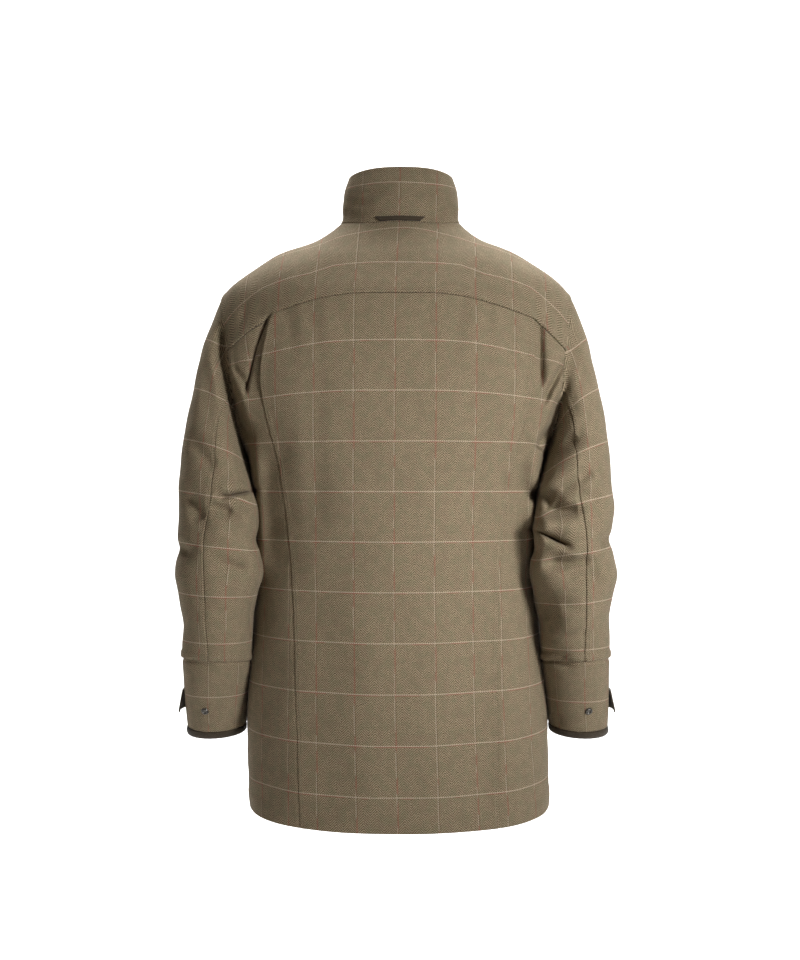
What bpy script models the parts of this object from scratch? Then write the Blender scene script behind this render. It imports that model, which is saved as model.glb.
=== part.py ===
"""Tweed field coat in the form it has when worn: a hollow shell of sewn panels.

Metres, +Z up, +X to the coat's own right, +Y to its front. The origin is in the middle of the neck,
level with the back neck seam, where the coat is carried by its neck and shoulders.

Two lofts make the cloth. The trunk runs through rings from the collar's top edge down to the hem, and each
sleeve runs through rings from its armhole to its cuff. Every panel is a patch of one loft, laid as a grid
sheet between its seams and given its thickness along the loft's own normals, so that neighbours stay
parallel along a seam.
"""

import math
from collections import namedtuple

import bmesh
import bpy
import numpy as np
from mathutils import Vector

# Cloth and seams
CLOTH = 0.0025
TRIM_CLOTH = 0.0018
SEAM_GAP = 0.0003
NARROWEST_RADIUS = 0.14
SLEEVE_GAP_SHARE = 1.5
SLANT_GAP_SHARE = 1.6
CUFF_GAP_SHARE = 2.2

# Rows of the trunk loft, numbered from the neck seam
COLLAR_TOP_ROW = -3
NECK_ROW = 0
YOKE_ROW = 4
ARMPIT_ROW = 7
HEM_FOLD_ROW = 13.57
HEM_ROW = 14

Section = namedtuple(
    "Section", "z_back z_side z_front half_width y_back y_front roundness back_seam_x"
)
# One ring of the trunk a row: heights at the back, side and front, the half width, the depths, how square
# the ring is, and how far the shaped back seam runs from the middle.
SECTIONS = [
    Section(0.084, 0.079, 0.000, 0.0775, -0.0620, 0.052, 2.00, 0.195),
    Section(0.056, 0.058, -0.028, 0.0845, -0.0710, 0.057, 2.00, 0.195),
    Section(0.026, 0.034, -0.056, 0.0872, -0.0765, 0.060, 2.00, 0.195),
    Section(0.000, 0.009, -0.080, 0.0896, -0.0790, 0.063, 2.00, 0.195),
    Section(-0.028, -0.017, -0.100, 0.1250, -0.0970, 0.080, 2.10, 0.195),
    Section(-0.056, -0.046, -0.122, 0.1905, -0.1160, 0.096, 2.20, 0.195),
    Section(-0.083, -0.100, -0.147, 0.2570, -0.1310, 0.108, 2.35, 0.195),
    Section(-0.112, -0.172, -0.178, 0.2740, -0.1430, 0.119, 2.40, 0.195),
    Section(-0.190, -0.225, -0.225, 0.2680, -0.1530, 0.130, 2.45, 0.195),
    Section(-0.265, -0.280, -0.280, 0.2490, -0.1560, 0.142, 2.45, 0.187),
    Section(-0.335, -0.335, -0.335, 0.2232, -0.1550, 0.152, 2.30, 0.171),
    Section(-0.400, -0.400, -0.400, 0.2155, -0.1510, 0.164, 2.08, 0.159),
    Section(-0.470, -0.470, -0.470, 0.2131, -0.1480, 0.171, 2.00, 0.1515),
    Section(-0.550, -0.550, -0.550, 0.2148, -0.1490, 0.175, 2.00, 0.146),
    Section(-0.640, -0.640, -0.640, 0.2210, -0.1540, 0.178, 2.00, 0.1435),
    Section(-0.730, -0.730, -0.728, 0.2260, -0.1590, 0.179, 2.05, 0.1415),
    Section(-0.803, -0.801, -0.799, 0.2256, -0.1630, 0.177, 2.20, 0.140),
    Section(-0.862, -0.859, -0.857, 0.2230, -0.1660, 0.174, 2.30, 0.139),
]
SHOULDER_POWER = 5

# The armhole is an oval in the loft's own angle and row
ARMHOLE_MID_ROW = 5
ARMHOLE_HALF_ROWS = 2
ARMHOLE_BACK_ANGLE = math.radians(18)
ARMHOLE_FRONT_ANGLE = math.radians(20)
ARMHOLE_HALF_SPAN = 0.085
ARMHOLE_INSET = 1.6 * SEAM_GAP / ARMHOLE_HALF_SPAN
ARMHOLE_STEP = 15
YOKE_BACK_CORNER = 75
YOKE_FRONT_CORNER = 60
# The side back's rows slant down to the yoke's corner, and lie level from this row on.
LEVEL_ROW = 6

SleeveRing = namedtuple(
    "SleeveRing", "outer_x outer_z inner_x inner_z y_mid half_depth tilt"
)
# One ring of a sleeve a row, below the armhole: its outermost and innermost points seen from behind, its
# middle and half depth from back to front, and how much it rises towards the front.
SLEEVE_RINGS = [
    SleeveRing(0.2824, -0.164, 0.2240, -0.349, -0.020, 0.086, 0.00),
    SleeveRing(0.2940, -0.224, 0.2150, -0.379, -0.043, 0.084, 0.00),
    SleeveRing(0.3065, -0.298, 0.2086, -0.417, -0.058, 0.082, 0.00),
    SleeveRing(0.3125, -0.373, 0.2050, -0.455, -0.066, 0.080, 0.00),
    SleeveRing(0.3155, -0.438, 0.2045, -0.495, -0.065, 0.079, 0.00),
    SleeveRing(0.3165, -0.507, 0.2062, -0.540, -0.062, 0.077, 0.00),
    SleeveRing(0.3155, -0.572, 0.2112, -0.589, -0.050, 0.073, -0.03),
    SleeveRing(0.3155, -0.635, 0.2185, -0.640, -0.031, 0.067, -0.06),
    SleeveRing(0.3175, -0.698, 0.2258, -0.698, -0.004, 0.061, -0.02),
    SleeveRing(0.3195, -0.757, 0.2320, -0.755, 0.024, 0.056, 0.04),
]
CUFF_SEAM_RING = 8
CUFF_EDGE_RING = 10
RING_SPACING = 0.06
SEAM_PULL_TOP = 0.070
SEAM_PULL_ARMPIT = 0.016
SLEEVE_BACK_SEAM = (105, 103, 97, 88, 81, 78, 78, 80, 83, 83, 83)
SLEEVE_FRONT_SEAM = (240, 241, 242, 243, 243, 242, 241, 240, 240, 240, 240)

Sway = namedtuple("Sway", "z x")
# The coat leans a little to its own left at the waist.
SWAYS = [
    Sway(-0.90, 0.000),
    Sway(-0.70, -0.005),
    Sway(-0.48, -0.007),
    Sway(-0.30, -0.006),
    Sway(-0.10, -0.005),
    Sway(0.00, 0.000),
    Sway(0.10, 0.002),
]

Fold = namedtuple("Fold", "x1 z1 x2 z2 width depth")
# Troughs seen from behind: both ends, half width and depth.
BACK_FOLDS = [
    Fold(0.236, -0.206, 0.214, -0.252, 0.009, 0.004),
    Fold(0.242, -0.262, 0.226, -0.318, 0.010, 0.006),
    Fold(0.258, -0.312, 0.222, -0.342, 0.014, 0.006),
    Fold(0.196, -0.414, 0.262, -0.422, 0.013, 0.005),
    Fold(0.206, -0.446, 0.250, -0.472, 0.010, 0.008),
    Fold(0.222, -0.490, 0.280, -0.486, 0.012, 0.004),
    Fold(0.300, -0.470, 0.326, -0.462, 0.011, 0.005),
    Fold(-0.266, -0.150, -0.269, -0.200, 0.013, 0.005),
    Fold(-0.266, -0.205, -0.246, -0.286, 0.014, 0.006),
    Fold(-0.262, -0.398, -0.216, -0.389, 0.010, 0.006),
    Fold(-0.282, -0.412, -0.244, -0.426, 0.013, 0.003),
    Fold(-0.312, -0.396, -0.290, -0.436, 0.016, 0.004),
    Fold(-0.196, -0.452, -0.150, -0.420, 0.016, 0.003),
    Fold(0.196, -0.404, 0.160, -0.436, 0.014, 0.003),
]
# Like troughs on the front, inside the elbows and below the armholes.
FRONT_FOLDS = [
    Fold(0.240, -0.240, 0.222, -0.290, 0.012, 0.004),
    Fold(0.222, -0.452, 0.280, -0.470, 0.012, 0.007),
    Fold(0.226, -0.510, 0.290, -0.500, 0.012, 0.005),
    Fold(-0.240, -0.246, -0.222, -0.294, 0.012, 0.004),
    Fold(-0.222, -0.446, -0.284, -0.462, 0.012, 0.007),
    Fold(-0.226, -0.502, -0.288, -0.494, 0.012, 0.005),
]
FOLD_FACING = 0.25

# Action pleats of the back, beside the yoke's corners
PLEAT_DEPTH = 0.007
PLEAT_UNDERLAP = 0.009
PLEAT_REACH = 0.8
PleatRow = namedtuple("PleatRow", "row depth_share underlap_share")
PLEAT = [
    PleatRow(4.00, 0.00, 0.0),
    PleatRow(4.12, 0.52, 0.0),
    PleatRow(4.25, 0.90, 0.9),
    PleatRow(4.48, 1.00, 1.0),
    PleatRow(5.00, 1.00, 1.0),
    PleatRow(5.30, 0.62, 0.0),
    PleatRow(6.00, 0.00, 0.0),
]

# Front edges and hem
FRONT_OVERLAP = 0.020
OVERLAP_LIFT = CLOTH + 0.0008
LIFT_FROM_X = -0.046
LIFT_TO_X = -0.028
HEM_STEP = 0.0012
COLLAR_FRONT_GAP = 0.004

# Grid of the panels
TRUNK_ROWS_BELOW_ARMPIT = 11
BACK_CENTRE_COLUMNS = 14
BACK_SIDE_COLUMNS = 5
FRONT_COLUMNS = 7
YOKE_STOPS = (0, 0.07, 0.18, 0.34, 0.5, 0.67, 0.84, 1)
COLLAR_STOPS = (-3, -2.3, -1.6, -0.9, -0.38, 0)
SLEEVE_CAP_STOPS = (0, 0.12, 0.3, 0.55, 0.8, 1.1, 1.5, 2, 2.5)
SLEEVE_ELBOW_STOPS = (3, 3.3, 3.6, 3.9, 4.2, 4.5, 4.8, 5.2)
SLEEVE_WRIST_STOPS = (5.7, 6.3, 7, 8)

# Small pieces
BINDING_WIDTH_RINGS = 0.19
BINDING_OUT = 0.0007
BINDING_IN = 0.0034
TAB_RINGS = (8.80, 9.36)
TAB_ANGLES = (-75, 22)
TAB_CLEARANCE = 0.0005
TAB_FLARE = 0.0095
CUFF_STUD_ANGLE = 79
CUFF_STUD_RING = 9.25
LOOP_HALF_LENGTH = 0.036
LOOP_END_SLANT = 0.007
LOOP_TOP_ROW = -0.30
LOOP_WIDTH_ROWS = 0.27
LOOP_CLEARANCE = 0.0007
LOOP_BOW = 0.0012
FRONT_STUD_ROWS = (2.2, 5.2, 7.9, 9.9, 11.8)
STUD_CLEARANCE = 0.0004
StudRing = namedtuple("StudRing", "radius height")
STUD_PROFILE = [
    StudRing(0.0, 0.0011),
    StudRing(0.0020, 0.0011),
    StudRing(0.0029, 0.0021),
    StudRing(0.0043, 0.0021),
    StudRing(0.0054, 0.0012),
    StudRing(0.0056, 0.0),
    StudRing(0.0, 0.0),
]
STUD_SIDES = 10

DIFFERENCE_STEP = 1e-4


def start_scene():
    """Clears the scene and makes the coat's collection."""
    for old in list(bpy.data.objects):
        bpy.data.objects.remove(old, do_unlink=True)
    coat = bpy.data.collections.new("tweed_coat")
    bpy.context.scene.collection.children.link(coat)
    return coat


def make_material(name, colour, roughness, metallic=0.0):
    material = bpy.data.materials.new(name)
    material.use_nodes = True
    shader = material.node_tree.nodes["Principled BSDF"]
    shader.inputs["Base Color"].default_value = (*colour, 1.0)
    shader.inputs["Roughness"].default_value = roughness
    shader.inputs["Metallic"].default_value = metallic
    return material


# Curves through tables


def through_rows(values, position):
    """A smooth (Catmull-Rom) curve through evenly numbered values, read at fractional positions."""
    values = np.asarray(values, float)
    position = np.clip(position, 0, len(values) - 1)
    start = np.minimum(position.astype(int), len(values) - 2)
    share = position - start
    before = values[np.maximum(start - 1, 0)]
    here = values[start]
    there = values[start + 1]
    after = values[np.minimum(start + 2, len(values) - 1)]
    leave = (there - before) / 2
    arrive = (after - here) / 2
    return hermite(here, leave, there, arrive, share)


def hermite(here, leave, there, arrive, share):
    """The cubic from one point to the next with given leaving and arriving directions."""
    square = share * share
    cube = square * share
    return (
        here * (2 * cube - 3 * square + 1)
        + leave * (cube - 2 * square + share)
        + there * (3 * square - 2 * cube)
        + arrive * (cube - square)
    )


def ease(value, low, high):
    """Zero below low, one above high, and a smooth step between."""
    share = np.clip((value - low) / (high - low), 0.0, 1.0)
    return share * share * (3 - 2 * share)


def unit(vectors):
    return vectors / np.maximum(np.linalg.norm(vectors, axis=-1, keepdims=True), 1e-12)


# The trunk


def section_value(name, row):
    column = [getattr(section, name) for section in SECTIONS]
    return through_rows(column, np.asarray(row, float) - COLLAR_TOP_ROW)


def trunk_points(angle, row):
    """The trunk loft: angle 0 is the middle of the back and a right angle is the coat's right side."""
    angle, row = np.broadcast_arrays(np.asarray(angle, float), np.asarray(row, float))
    half_width = section_value("half_width", row)
    y_back = section_value("y_back", row)
    y_front = section_value("y_front", row)
    power = section_value("roundness", row)
    half_depth = (y_front - y_back) / 2
    across = np.abs(np.sin(angle) / half_width) ** power
    along = np.abs(np.cos(angle) / half_depth) ** power
    radius = (across + along) ** (-1 / power)
    z_side = section_value("z_side", row)
    z_middle = np.where(
        np.cos(angle) > 0, section_value("z_back", row), section_value("z_front", row)
    )
    rise = 1 - np.abs(np.sin(angle)) ** SHOULDER_POWER
    return np.stack(
        [
            radius * np.sin(angle),
            (y_front + y_back) / 2 - radius * np.cos(angle),
            z_side + (z_middle - z_side) * rise,
        ],
        axis=-1,
    )


def trunk_normals(angle, row):
    """Outward normals of the trunk loft, from small steps round and down it."""
    round_step = trunk_points(angle + DIFFERENCE_STEP, row) - trunk_points(
        angle - DIFFERENCE_STEP, row
    )
    down_step = trunk_points(angle, row + DIFFERENCE_STEP) - trunk_points(
        angle, row - DIFFERENCE_STEP
    )
    return unit(np.cross(down_step, round_step))


def angle_at_x(x, row, front=False):
    """The trunk angle at a distance x from the middle of the back, or of the front."""
    row = np.asarray(row, float)
    half_width = section_value("half_width", row)
    half_depth = (section_value("y_front", row) - section_value("y_back", row)) / 2
    power = section_value("roundness", row)
    share = np.minimum(np.abs(x) / half_width, 0.999)
    depth = half_depth * (1 - share**power) ** (1 / power)
    angle = np.arctan2(x, depth)
    return np.pi - angle if front else angle


def rows_for(angle, row, distance):
    """How many rows a distance down the loft is, at each point."""
    step = trunk_points(angle, row + DIFFERENCE_STEP) - trunk_points(
        angle, row - DIFFERENCE_STEP
    )
    return distance * 2 * DIFFERENCE_STEP / np.linalg.norm(step, axis=-1)


def armhole(phi, inset=0.0):
    """The right armhole's angle and row: phi 0 at the shoulder, 90 at the back, 180 at the armpit."""
    phi = np.radians(np.asarray(phi, float))
    half_angle = np.where(np.sin(phi) > 0, ARMHOLE_BACK_ANGLE, ARMHOLE_FRONT_ANGLE)
    shrink = 1 - inset
    angle = np.pi / 2 - half_angle * np.sin(phi) * shrink
    row = ARMHOLE_MID_ROW - ARMHOLE_HALF_ROWS * np.cos(phi) * shrink
    return angle, row


# The sleeves


def sleeve_ring_points(phi, ring):
    """One elliptical ring of the right sleeve: phi 0 outermost, 90 at the back, 180 next to the trunk."""
    phi = np.radians(phi)
    mid_x = (ring.outer_x + ring.inner_x) / 2
    mid_z = (ring.outer_z + ring.inner_z) / 2
    half_x = (ring.outer_x - ring.inner_x) / 2
    half_z = (ring.outer_z - ring.inner_z) / 2
    back = np.sin(phi) * ring.half_depth
    return np.stack(
        [
            mid_x + half_x * np.cos(phi),
            ring.y_mid - back,
            mid_z + half_z * np.cos(phi) - ring.tilt * back,
        ],
        axis=-1,
    )


def sleeve_points(phi, position):
    """The right sleeve's loft: position 0 at the armhole and one more for each ring below it."""
    phi, position = np.broadcast_arrays(
        np.asarray(phi, float), np.asarray(position, float)
    )
    start = trunk_points(*armhole(phi, ARMHOLE_INSET))
    inward = unit(trunk_points(*armhole(phi, ARMHOLE_INSET + 0.03)) - start)
    top_share = ((1 + np.cos(np.radians(phi))) / 2) ** 1.5
    pull = SEAM_PULL_ARMPIT + (SEAM_PULL_TOP - SEAM_PULL_ARMPIT) * top_share
    rings = [start] + [sleeve_ring_points(phi, ring) for ring in SLEEVE_RINGS]
    rings = np.stack(rings)
    directions = np.empty_like(rings)
    directions[0] = inward * pull[..., None]
    directions[1:-1] = (rings[2:] - rings[:-2]) / 2
    directions[-1] = rings[-1] - rings[-2]
    first = np.clip(position.astype(int), 0, len(SLEEVE_RINGS) - 1)
    share = (position - first)[..., None]

    def pick(stack, index):
        return np.take_along_axis(stack, index[None, ..., None], axis=0)[0]

    return hermite(
        pick(rings, first),
        pick(directions, first),
        pick(rings, first + 1),
        pick(directions, first + 1),
        share,
    )


def sleeve_normals(phi, position):
    """Outward normals of the right sleeve's loft."""
    step = math.degrees(DIFFERENCE_STEP) * 10
    round_step = sleeve_points(phi + step, position) - sleeve_points(phi - step, position)
    low = np.maximum(position - DIFFERENCE_STEP * 10, 0.0)
    down_step = sleeve_points(phi, position + DIFFERENCE_STEP * 10) - sleeve_points(phi, low)
    return unit(np.cross(round_step, down_step))


# Folds and the final pose


def fold_depth(points, normals, folds, facing):
    """How far the folds of one side push a point in: soft troughs along lines seen from that side."""
    depth = np.zeros(points.shape[:-1])
    flat = points[..., [0, 2]]
    for fold in folds:
        start = np.array([fold.x1, fold.z1])
        run = np.array([fold.x2, fold.z2]) - start
        share = np.clip(((flat - start) @ run) / (run @ run), 0.0, 1.0)
        distance = np.linalg.norm(flat - start - share[..., None] * run, axis=-1)
        taper = 1 - (2 * share - 1) ** 4 * 0.6
        depth += fold.depth * taper * np.exp(-((distance / fold.width) ** 2))
    return depth * ease(facing * normals[..., 1], 0.0, FOLD_FACING)


def with_sway(points):
    order = sorted(SWAYS)
    shift = np.interp(points[..., 2], [s.z for s in order], [s.x for s in order])
    moved = points.copy()
    moved[..., 0] += shift
    return moved


def wall(points, normals, lift, thickness=CLOTH):
    """Outer and inner points of cloth that lies lift above the loft, with the coat's folds pressed in."""
    pressed = fold_depth(points, normals, BACK_FOLDS, -1.0)
    pressed = pressed + fold_depth(points, normals, FRONT_FOLDS, 1.0)
    height = (lift - pressed)[..., None]
    outer = points + normals * height
    inner = points + normals * (height - thickness)
    return with_sway(outer), with_sway(inner)


def trunk_wall(angle, row, lift=0.0, thickness=CLOTH):
    points = trunk_points(angle, row)
    lift = np.broadcast_to(lift, points.shape[:-1])
    return wall(points, trunk_normals(angle, row), lift, thickness)


def sleeve_wall(phi, position, side, lift=0.0, thickness=CLOTH):
    """A patch of the coat's right sleeve (side 1) or left sleeve (side -1)."""
    mirror = np.array([side, 1.0, 1.0])
    points = sleeve_points(phi, position) * mirror
    normals = sleeve_normals(phi, position) * mirror
    return wall(points, normals, np.broadcast_to(lift, points.shape[:-1]), thickness)


# Solids


def add_object(coat, name, mesh, material):
    mesh.materials.append(material)
    made = bpy.data.objects.new(name, mesh)
    coat.objects.link(made)
    return made


def cloth_panel(coat, name, sheet, material, closed=False):
    """A cloth wall: a grid sheet on the outer points is extruded and its copy moved to the inner ones."""
    outer, inner = sheet
    rows, columns = outer.shape[:2]
    bm = bmesh.new()
    bmesh.ops.create_grid(bm, x_segments=columns - 1, y_segments=rows - 1, size=1.0)
    place = bm.verts.layers.int.new("place")
    for vert in bm.verts:
        column = round((vert.co.x + 1) / 2 * (columns - 1))
        row = round((vert.co.y + 1) / 2 * (rows - 1))
        vert[place] = row * columns + column
    for vert in bm.verts:
        vert.co = outer[divmod(vert[place], columns)]
    if closed:
        bmesh.ops.remove_doubles(bm, verts=bm.verts[:], dist=1e-6)
    copied = bmesh.ops.extrude_face_region(bm, geom=bm.faces[:], use_keep_orig=True)
    for part in copied["geom"]:
        if isinstance(part, bmesh.types.BMVert):
            part.co = inner[divmod(part[place], columns)]
    bmesh.ops.recalc_face_normals(bm, faces=bm.faces[:])
    mesh = bpy.data.meshes.new(name)
    bm.to_mesh(mesh)
    bm.free()
    mesh.shade_smooth()
    mesh.set_sharp_from_angle(angle=math.radians(50))
    return add_object(coat, name, mesh, material)


def press_stud(coat, name, point, normal, material):
    """A domed ring stud: its profile is turned about the line that stands out of the cloth."""
    bm = bmesh.new()
    corners = [bm.verts.new((ring.radius, 0.0, ring.height)) for ring in STUD_PROFILE]
    for first, second in zip(corners, corners[1:]):
        bm.edges.new((first, second))
    mesh = bpy.data.meshes.new(name)
    bm.to_mesh(mesh)
    bm.free()
    stud = add_object(coat, name, mesh, material)
    turned = stud.modifiers.new("turned", "SCREW")
    turned.steps = STUD_SIDES
    turned.render_steps = STUD_SIDES
    turned.use_merge_vertices = True
    turned.merge_threshold = 0.00001
    stud.location = Vector(point) + Vector(normal) * STUD_CLEARANCE
    stud.rotation_mode = "QUATERNION"
    stud.rotation_quaternion = Vector(normal).to_track_quat("Z", "Y")
    return stud


# Grids of the panels


def grid(left, right, columns):
    """Values from a left edge to a right edge, a row for each pair of ends."""
    share = np.linspace(0.0, 1.0, columns + 1)
    left, right = np.broadcast_arrays(np.atleast_1d(left), np.atleast_1d(right))
    return left[:, None] * (1 - share) + right[:, None] * share


def armhole_rows(first_phi):
    """The trunk rows at which the armhole's points lie, so that body and sleeve share them."""
    return armhole(np.arange(first_phi, 181, ARMHOLE_STEP))[1]


def yoke_slant():
    """How fast the side back's rows drop towards the armhole, for each row above the level one."""
    return (float(armhole(YOKE_BACK_CORNER)[1]) - YOKE_ROW) / (LEVEL_ROW - YOKE_ROW)


def slanted(row, share):
    """Rows of the side back, dropping with the yoke's edge from the pleat (share 0) to the armhole (1)."""
    return row + yoke_slant() * share * np.maximum(LEVEL_ROW - row, 0.0)


def level(row):
    """The row at the pleat of a slanting row that reaches the armhole at a given row."""
    return np.where(row < LEVEL_ROW, LEVEL_ROW - (LEVEL_ROW - row) / (1 - yoke_slant()), row)


def back_rows():
    """Rows of the back panels: the pleat's own rows, the armhole's points, then even rows to the hem."""
    pleat_rows = [p.row for p in PLEAT]
    rows = np.concatenate(
        [
            pleat_rows,
            level(armhole_rows(YOKE_BACK_CORNER)),
            np.linspace(ARMPIT_ROW, HEM_ROW, TRUNK_ROWS_BELOW_ARMPIT + 1),
            [HEM_FOLD_ROW - 0.05, HEM_FOLD_ROW],
        ]
    )
    return np.unique(np.round(rows, 3))


def front_rows():
    rows = np.concatenate(
        [
            YOKE_ROW * np.array(YOKE_STOPS),
            armhole_rows(YOKE_FRONT_CORNER),
            np.linspace(ARMPIT_ROW, HEM_ROW, TRUNK_ROWS_BELOW_ARMPIT + 1),
            [HEM_FOLD_ROW - 0.05, HEM_FOLD_ROW],
        ]
    )
    return np.unique(np.round(rows, 3))


def hem_lift(row):
    """The turned-up hem stands a little proud below its stitching."""
    return HEM_STEP * ease(row, HEM_FOLD_ROW - 0.05, HEM_FOLD_ROW)


def trimmed(angle, row, gap=SEAM_GAP):
    """Pulls a grid's first row off the seam above it by half the seam gap."""
    row = row.copy()
    row[0] += rows_for(angle[0], row[0], gap / 2)
    return row


def side_edge(row, front=False):
    """The panel edge next to the arm: the armhole down to the armpit, then the side seam."""
    reach = np.clip((ARMHOLE_MID_ROW - row) / ARMHOLE_HALF_ROWS, -1.0, 1.0)
    half_angle = ARMHOLE_FRONT_ANGLE if front else ARMHOLE_BACK_ANGLE
    offset = half_angle * np.sqrt(1 - reach**2)
    seam = SEAM_GAP / 2 / NARROWEST_RADIUS
    offset = np.where(row > ARMPIT_ROW - 1e-6, seam, np.maximum(offset, seam))
    return np.pi / 2 + offset if front else np.pi / 2 - offset


def back_centre_sheet():
    rows = back_rows()
    seam = SEAM_GAP / 2 / NARROWEST_RADIUS
    edge = angle_at_x(section_value("back_seam_x", rows), rows) - seam
    angle = grid(-edge, edge, BACK_CENTRE_COLUMNS)
    row = trimmed(angle, np.broadcast_to(rows[:, None], angle.shape))
    return trunk_wall(angle, row, hem_lift(row))


def back_side_sheet(side):
    """Side back panel: its pleat lies deep and runs under the middle of the back."""
    rows = back_rows()
    seam = SEAM_GAP / 2 / NARROWEST_RADIUS
    pleat_rows = [p.row for p in PLEAT]
    depth_share = np.interp(rows, pleat_rows, [p.depth_share for p in PLEAT])
    underlap_share = np.interp(rows, pleat_rows, [p.underlap_share for p in PLEAT])
    seam_x = section_value("back_seam_x", rows) - PLEAT_UNDERLAP * underlap_share
    outer_edge = side_edge(slanted(rows, 1.0))
    angle = grid(angle_at_x(seam_x, rows) + seam, outer_edge, BACK_SIDE_COLUMNS)
    share = np.linspace(0.0, 1.0, BACK_SIDE_COLUMNS + 1)
    row = trimmed(angle, slanted(rows[:, None], share), SEAM_GAP * SLANT_GAP_SHARE)
    hollow = PLEAT_DEPTH * depth_share[:, None] * (1 - ease(share, 0.1, PLEAT_REACH))
    return trunk_wall(side * angle, row, hem_lift(row) - hollow)


def front_angles(rows):
    """A front panel's columns, from shoulder seam, armhole and side seam past the middle of the front."""
    outer_edge = np.where(
        rows < YOKE_ROW, armhole(-YOKE_FRONT_CORNER)[0], side_edge(rows, front=True)
    )
    outer_edge = outer_edge + np.where(rows <= YOKE_ROW, SEAM_GAP / NARROWEST_RADIUS, 0.0)
    wide = grid(outer_edge, angle_at_x(-LIFT_FROM_X, rows, front=True), FRONT_COLUMNS)
    narrow = [angle_at_x(x, rows, front=True) for x in (-LIFT_TO_X, 0.0, -FRONT_OVERLAP)]
    return np.concatenate([wide, np.stack(narrow, axis=-1)], axis=-1)


def front_sheet(side):
    """Front panel. The coat's own left one (side -1) laps over its right one."""
    rows = front_rows()
    angle = front_angles(rows)
    row = trimmed(angle, np.broadcast_to(rows[:, None], angle.shape))
    lift = hem_lift(row)
    if side < 0:
        x = -trunk_points(angle, row)[..., 0]
        lift = lift + OVERLAP_LIFT * ease(x, LIFT_FROM_X, LIFT_TO_X)
    return trunk_wall(side * angle, row, lift)


def yoke_columns():
    """Angle and lowest row of each yoke column: along the back panels' tops, then round the armhole."""
    seam_angle = float(angle_at_x(SECTIONS[YOKE_ROW - COLLAR_TOP_ROW].back_seam_x, YOKE_ROW))
    corner = float(armhole(YOKE_BACK_CORNER)[0])
    middle = np.linspace(0, seam_angle, BACK_CENTRE_COLUMNS // 2 + 1)
    share = np.linspace(0.0, 1.0, BACK_SIDE_COLUMNS + 1)[1:]
    side = seam_angle * (1 - share) + corner * share
    phi = np.arange(YOKE_BACK_CORNER - ARMHOLE_STEP, -YOKE_FRONT_CORNER - 1, -ARMHOLE_STEP)
    hole_angle, hole_row = armhole(phi)
    angle = np.concatenate([middle, side, hole_angle])
    row = np.concatenate([np.full(len(middle), float(YOKE_ROW)), slanted(YOKE_ROW, share), hole_row])
    return (
        np.concatenate([-angle[:0:-1], angle]),
        np.concatenate([row[:0:-1], row]),
    )


def yoke_sheet():
    column_angle, lowest = yoke_columns()
    share = np.array(YOKE_STOPS, float)[:, None]
    angle = np.broadcast_to(column_angle, (len(YOKE_STOPS), len(column_angle)))
    row = trimmed(angle, lowest * share)
    on_seam = np.abs(column_angle) <= armhole(YOKE_BACK_CORNER)[0]
    gap = np.where(lowest > YOKE_ROW, SEAM_GAP * SLANT_GAP_SHARE, SEAM_GAP)
    row[-1] -= np.where(on_seam, rows_for(angle[-1], row[-1], gap / 2), 0.0)
    return trunk_wall(angle, row)


def collar_sheet():
    """Stand collar, with a column at each column of the yoke and fronts so that the neck seam lies even."""
    shoulder = yoke_columns()[0]
    front = front_angles(np.array([float(NECK_ROW)]))[0]
    end = float(angle_at_x(COLLAR_FRONT_GAP, NECK_ROW, front=True))
    front = np.append(front[(front > shoulder[-1] + 0.02) & (front < end - 0.02)], end)
    columns = np.concatenate([-front[::-1], shoulder, front])
    rows = np.array(COLLAR_STOPS, float)
    row, angle = np.meshgrid(rows, columns, indexing="ij")
    row[-1] -= rows_for(angle[-1], row[-1], SEAM_GAP / 2)
    return trunk_wall(angle, row)


def seam_edge(column, position, turn):
    """Angles of a sleeve seam at each position, moved to one side of it (turn 1 or -1) by the seam gap."""
    phi = through_rows(column, position)
    low = np.maximum(position - DIFFERENCE_STEP, 0.0)
    high = position + DIFFERENCE_STEP
    along = unit(
        sleeve_points(through_rows(column, high), high) - sleeve_points(through_rows(column, low), low)
    )
    across = sleeve_points(phi + 0.5, position) - sleeve_points(phi - 0.5, position)
    spacing = np.linalg.norm(np.cross(across, along), axis=-1)
    return phi + turn * SEAM_GAP * SLEEVE_GAP_SHARE / spacing


def sleeve_sheet(side, under):
    """Top sleeve, or the under sleeve that faces the trunk, from the armhole to the cuff seam."""
    position = np.array(SLEEVE_CAP_STOPS + SLEEVE_ELBOW_STOPS + SLEEVE_WRIST_STOPS, float)
    position[-1] -= SEAM_GAP * CUFF_GAP_SHARE / 2 / RING_SPACING
    if under:
        back = seam_edge(SLEEVE_BACK_SEAM, position, 1)
        front = seam_edge(SLEEVE_FRONT_SEAM, position, -1)
        phi = grid(back, front, round((front[0] - back[0]) / ARMHOLE_STEP))
    else:
        back = seam_edge(SLEEVE_BACK_SEAM, position, -1)
        front = seam_edge(SLEEVE_FRONT_SEAM, position, 1)
        phi = grid(front - 360, back, round((back[0] - front[0] + 360) / ARMHOLE_STEP))
    return sleeve_wall(phi, np.broadcast_to(position[:, None], phi.shape), side)


def ring_band(side, first, last, rows, lift=0.0, thickness=CLOTH):
    """A closed band of the sleeve's loft between two positions."""
    position = np.linspace(first, last, rows + 1)
    phi = np.broadcast_to(np.arange(0, 361, ARMHOLE_STEP), (rows + 1, 360 // ARMHOLE_STEP + 1))
    return sleeve_wall(phi, np.broadcast_to(position[:, None], phi.shape), side, lift, thickness)


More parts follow.
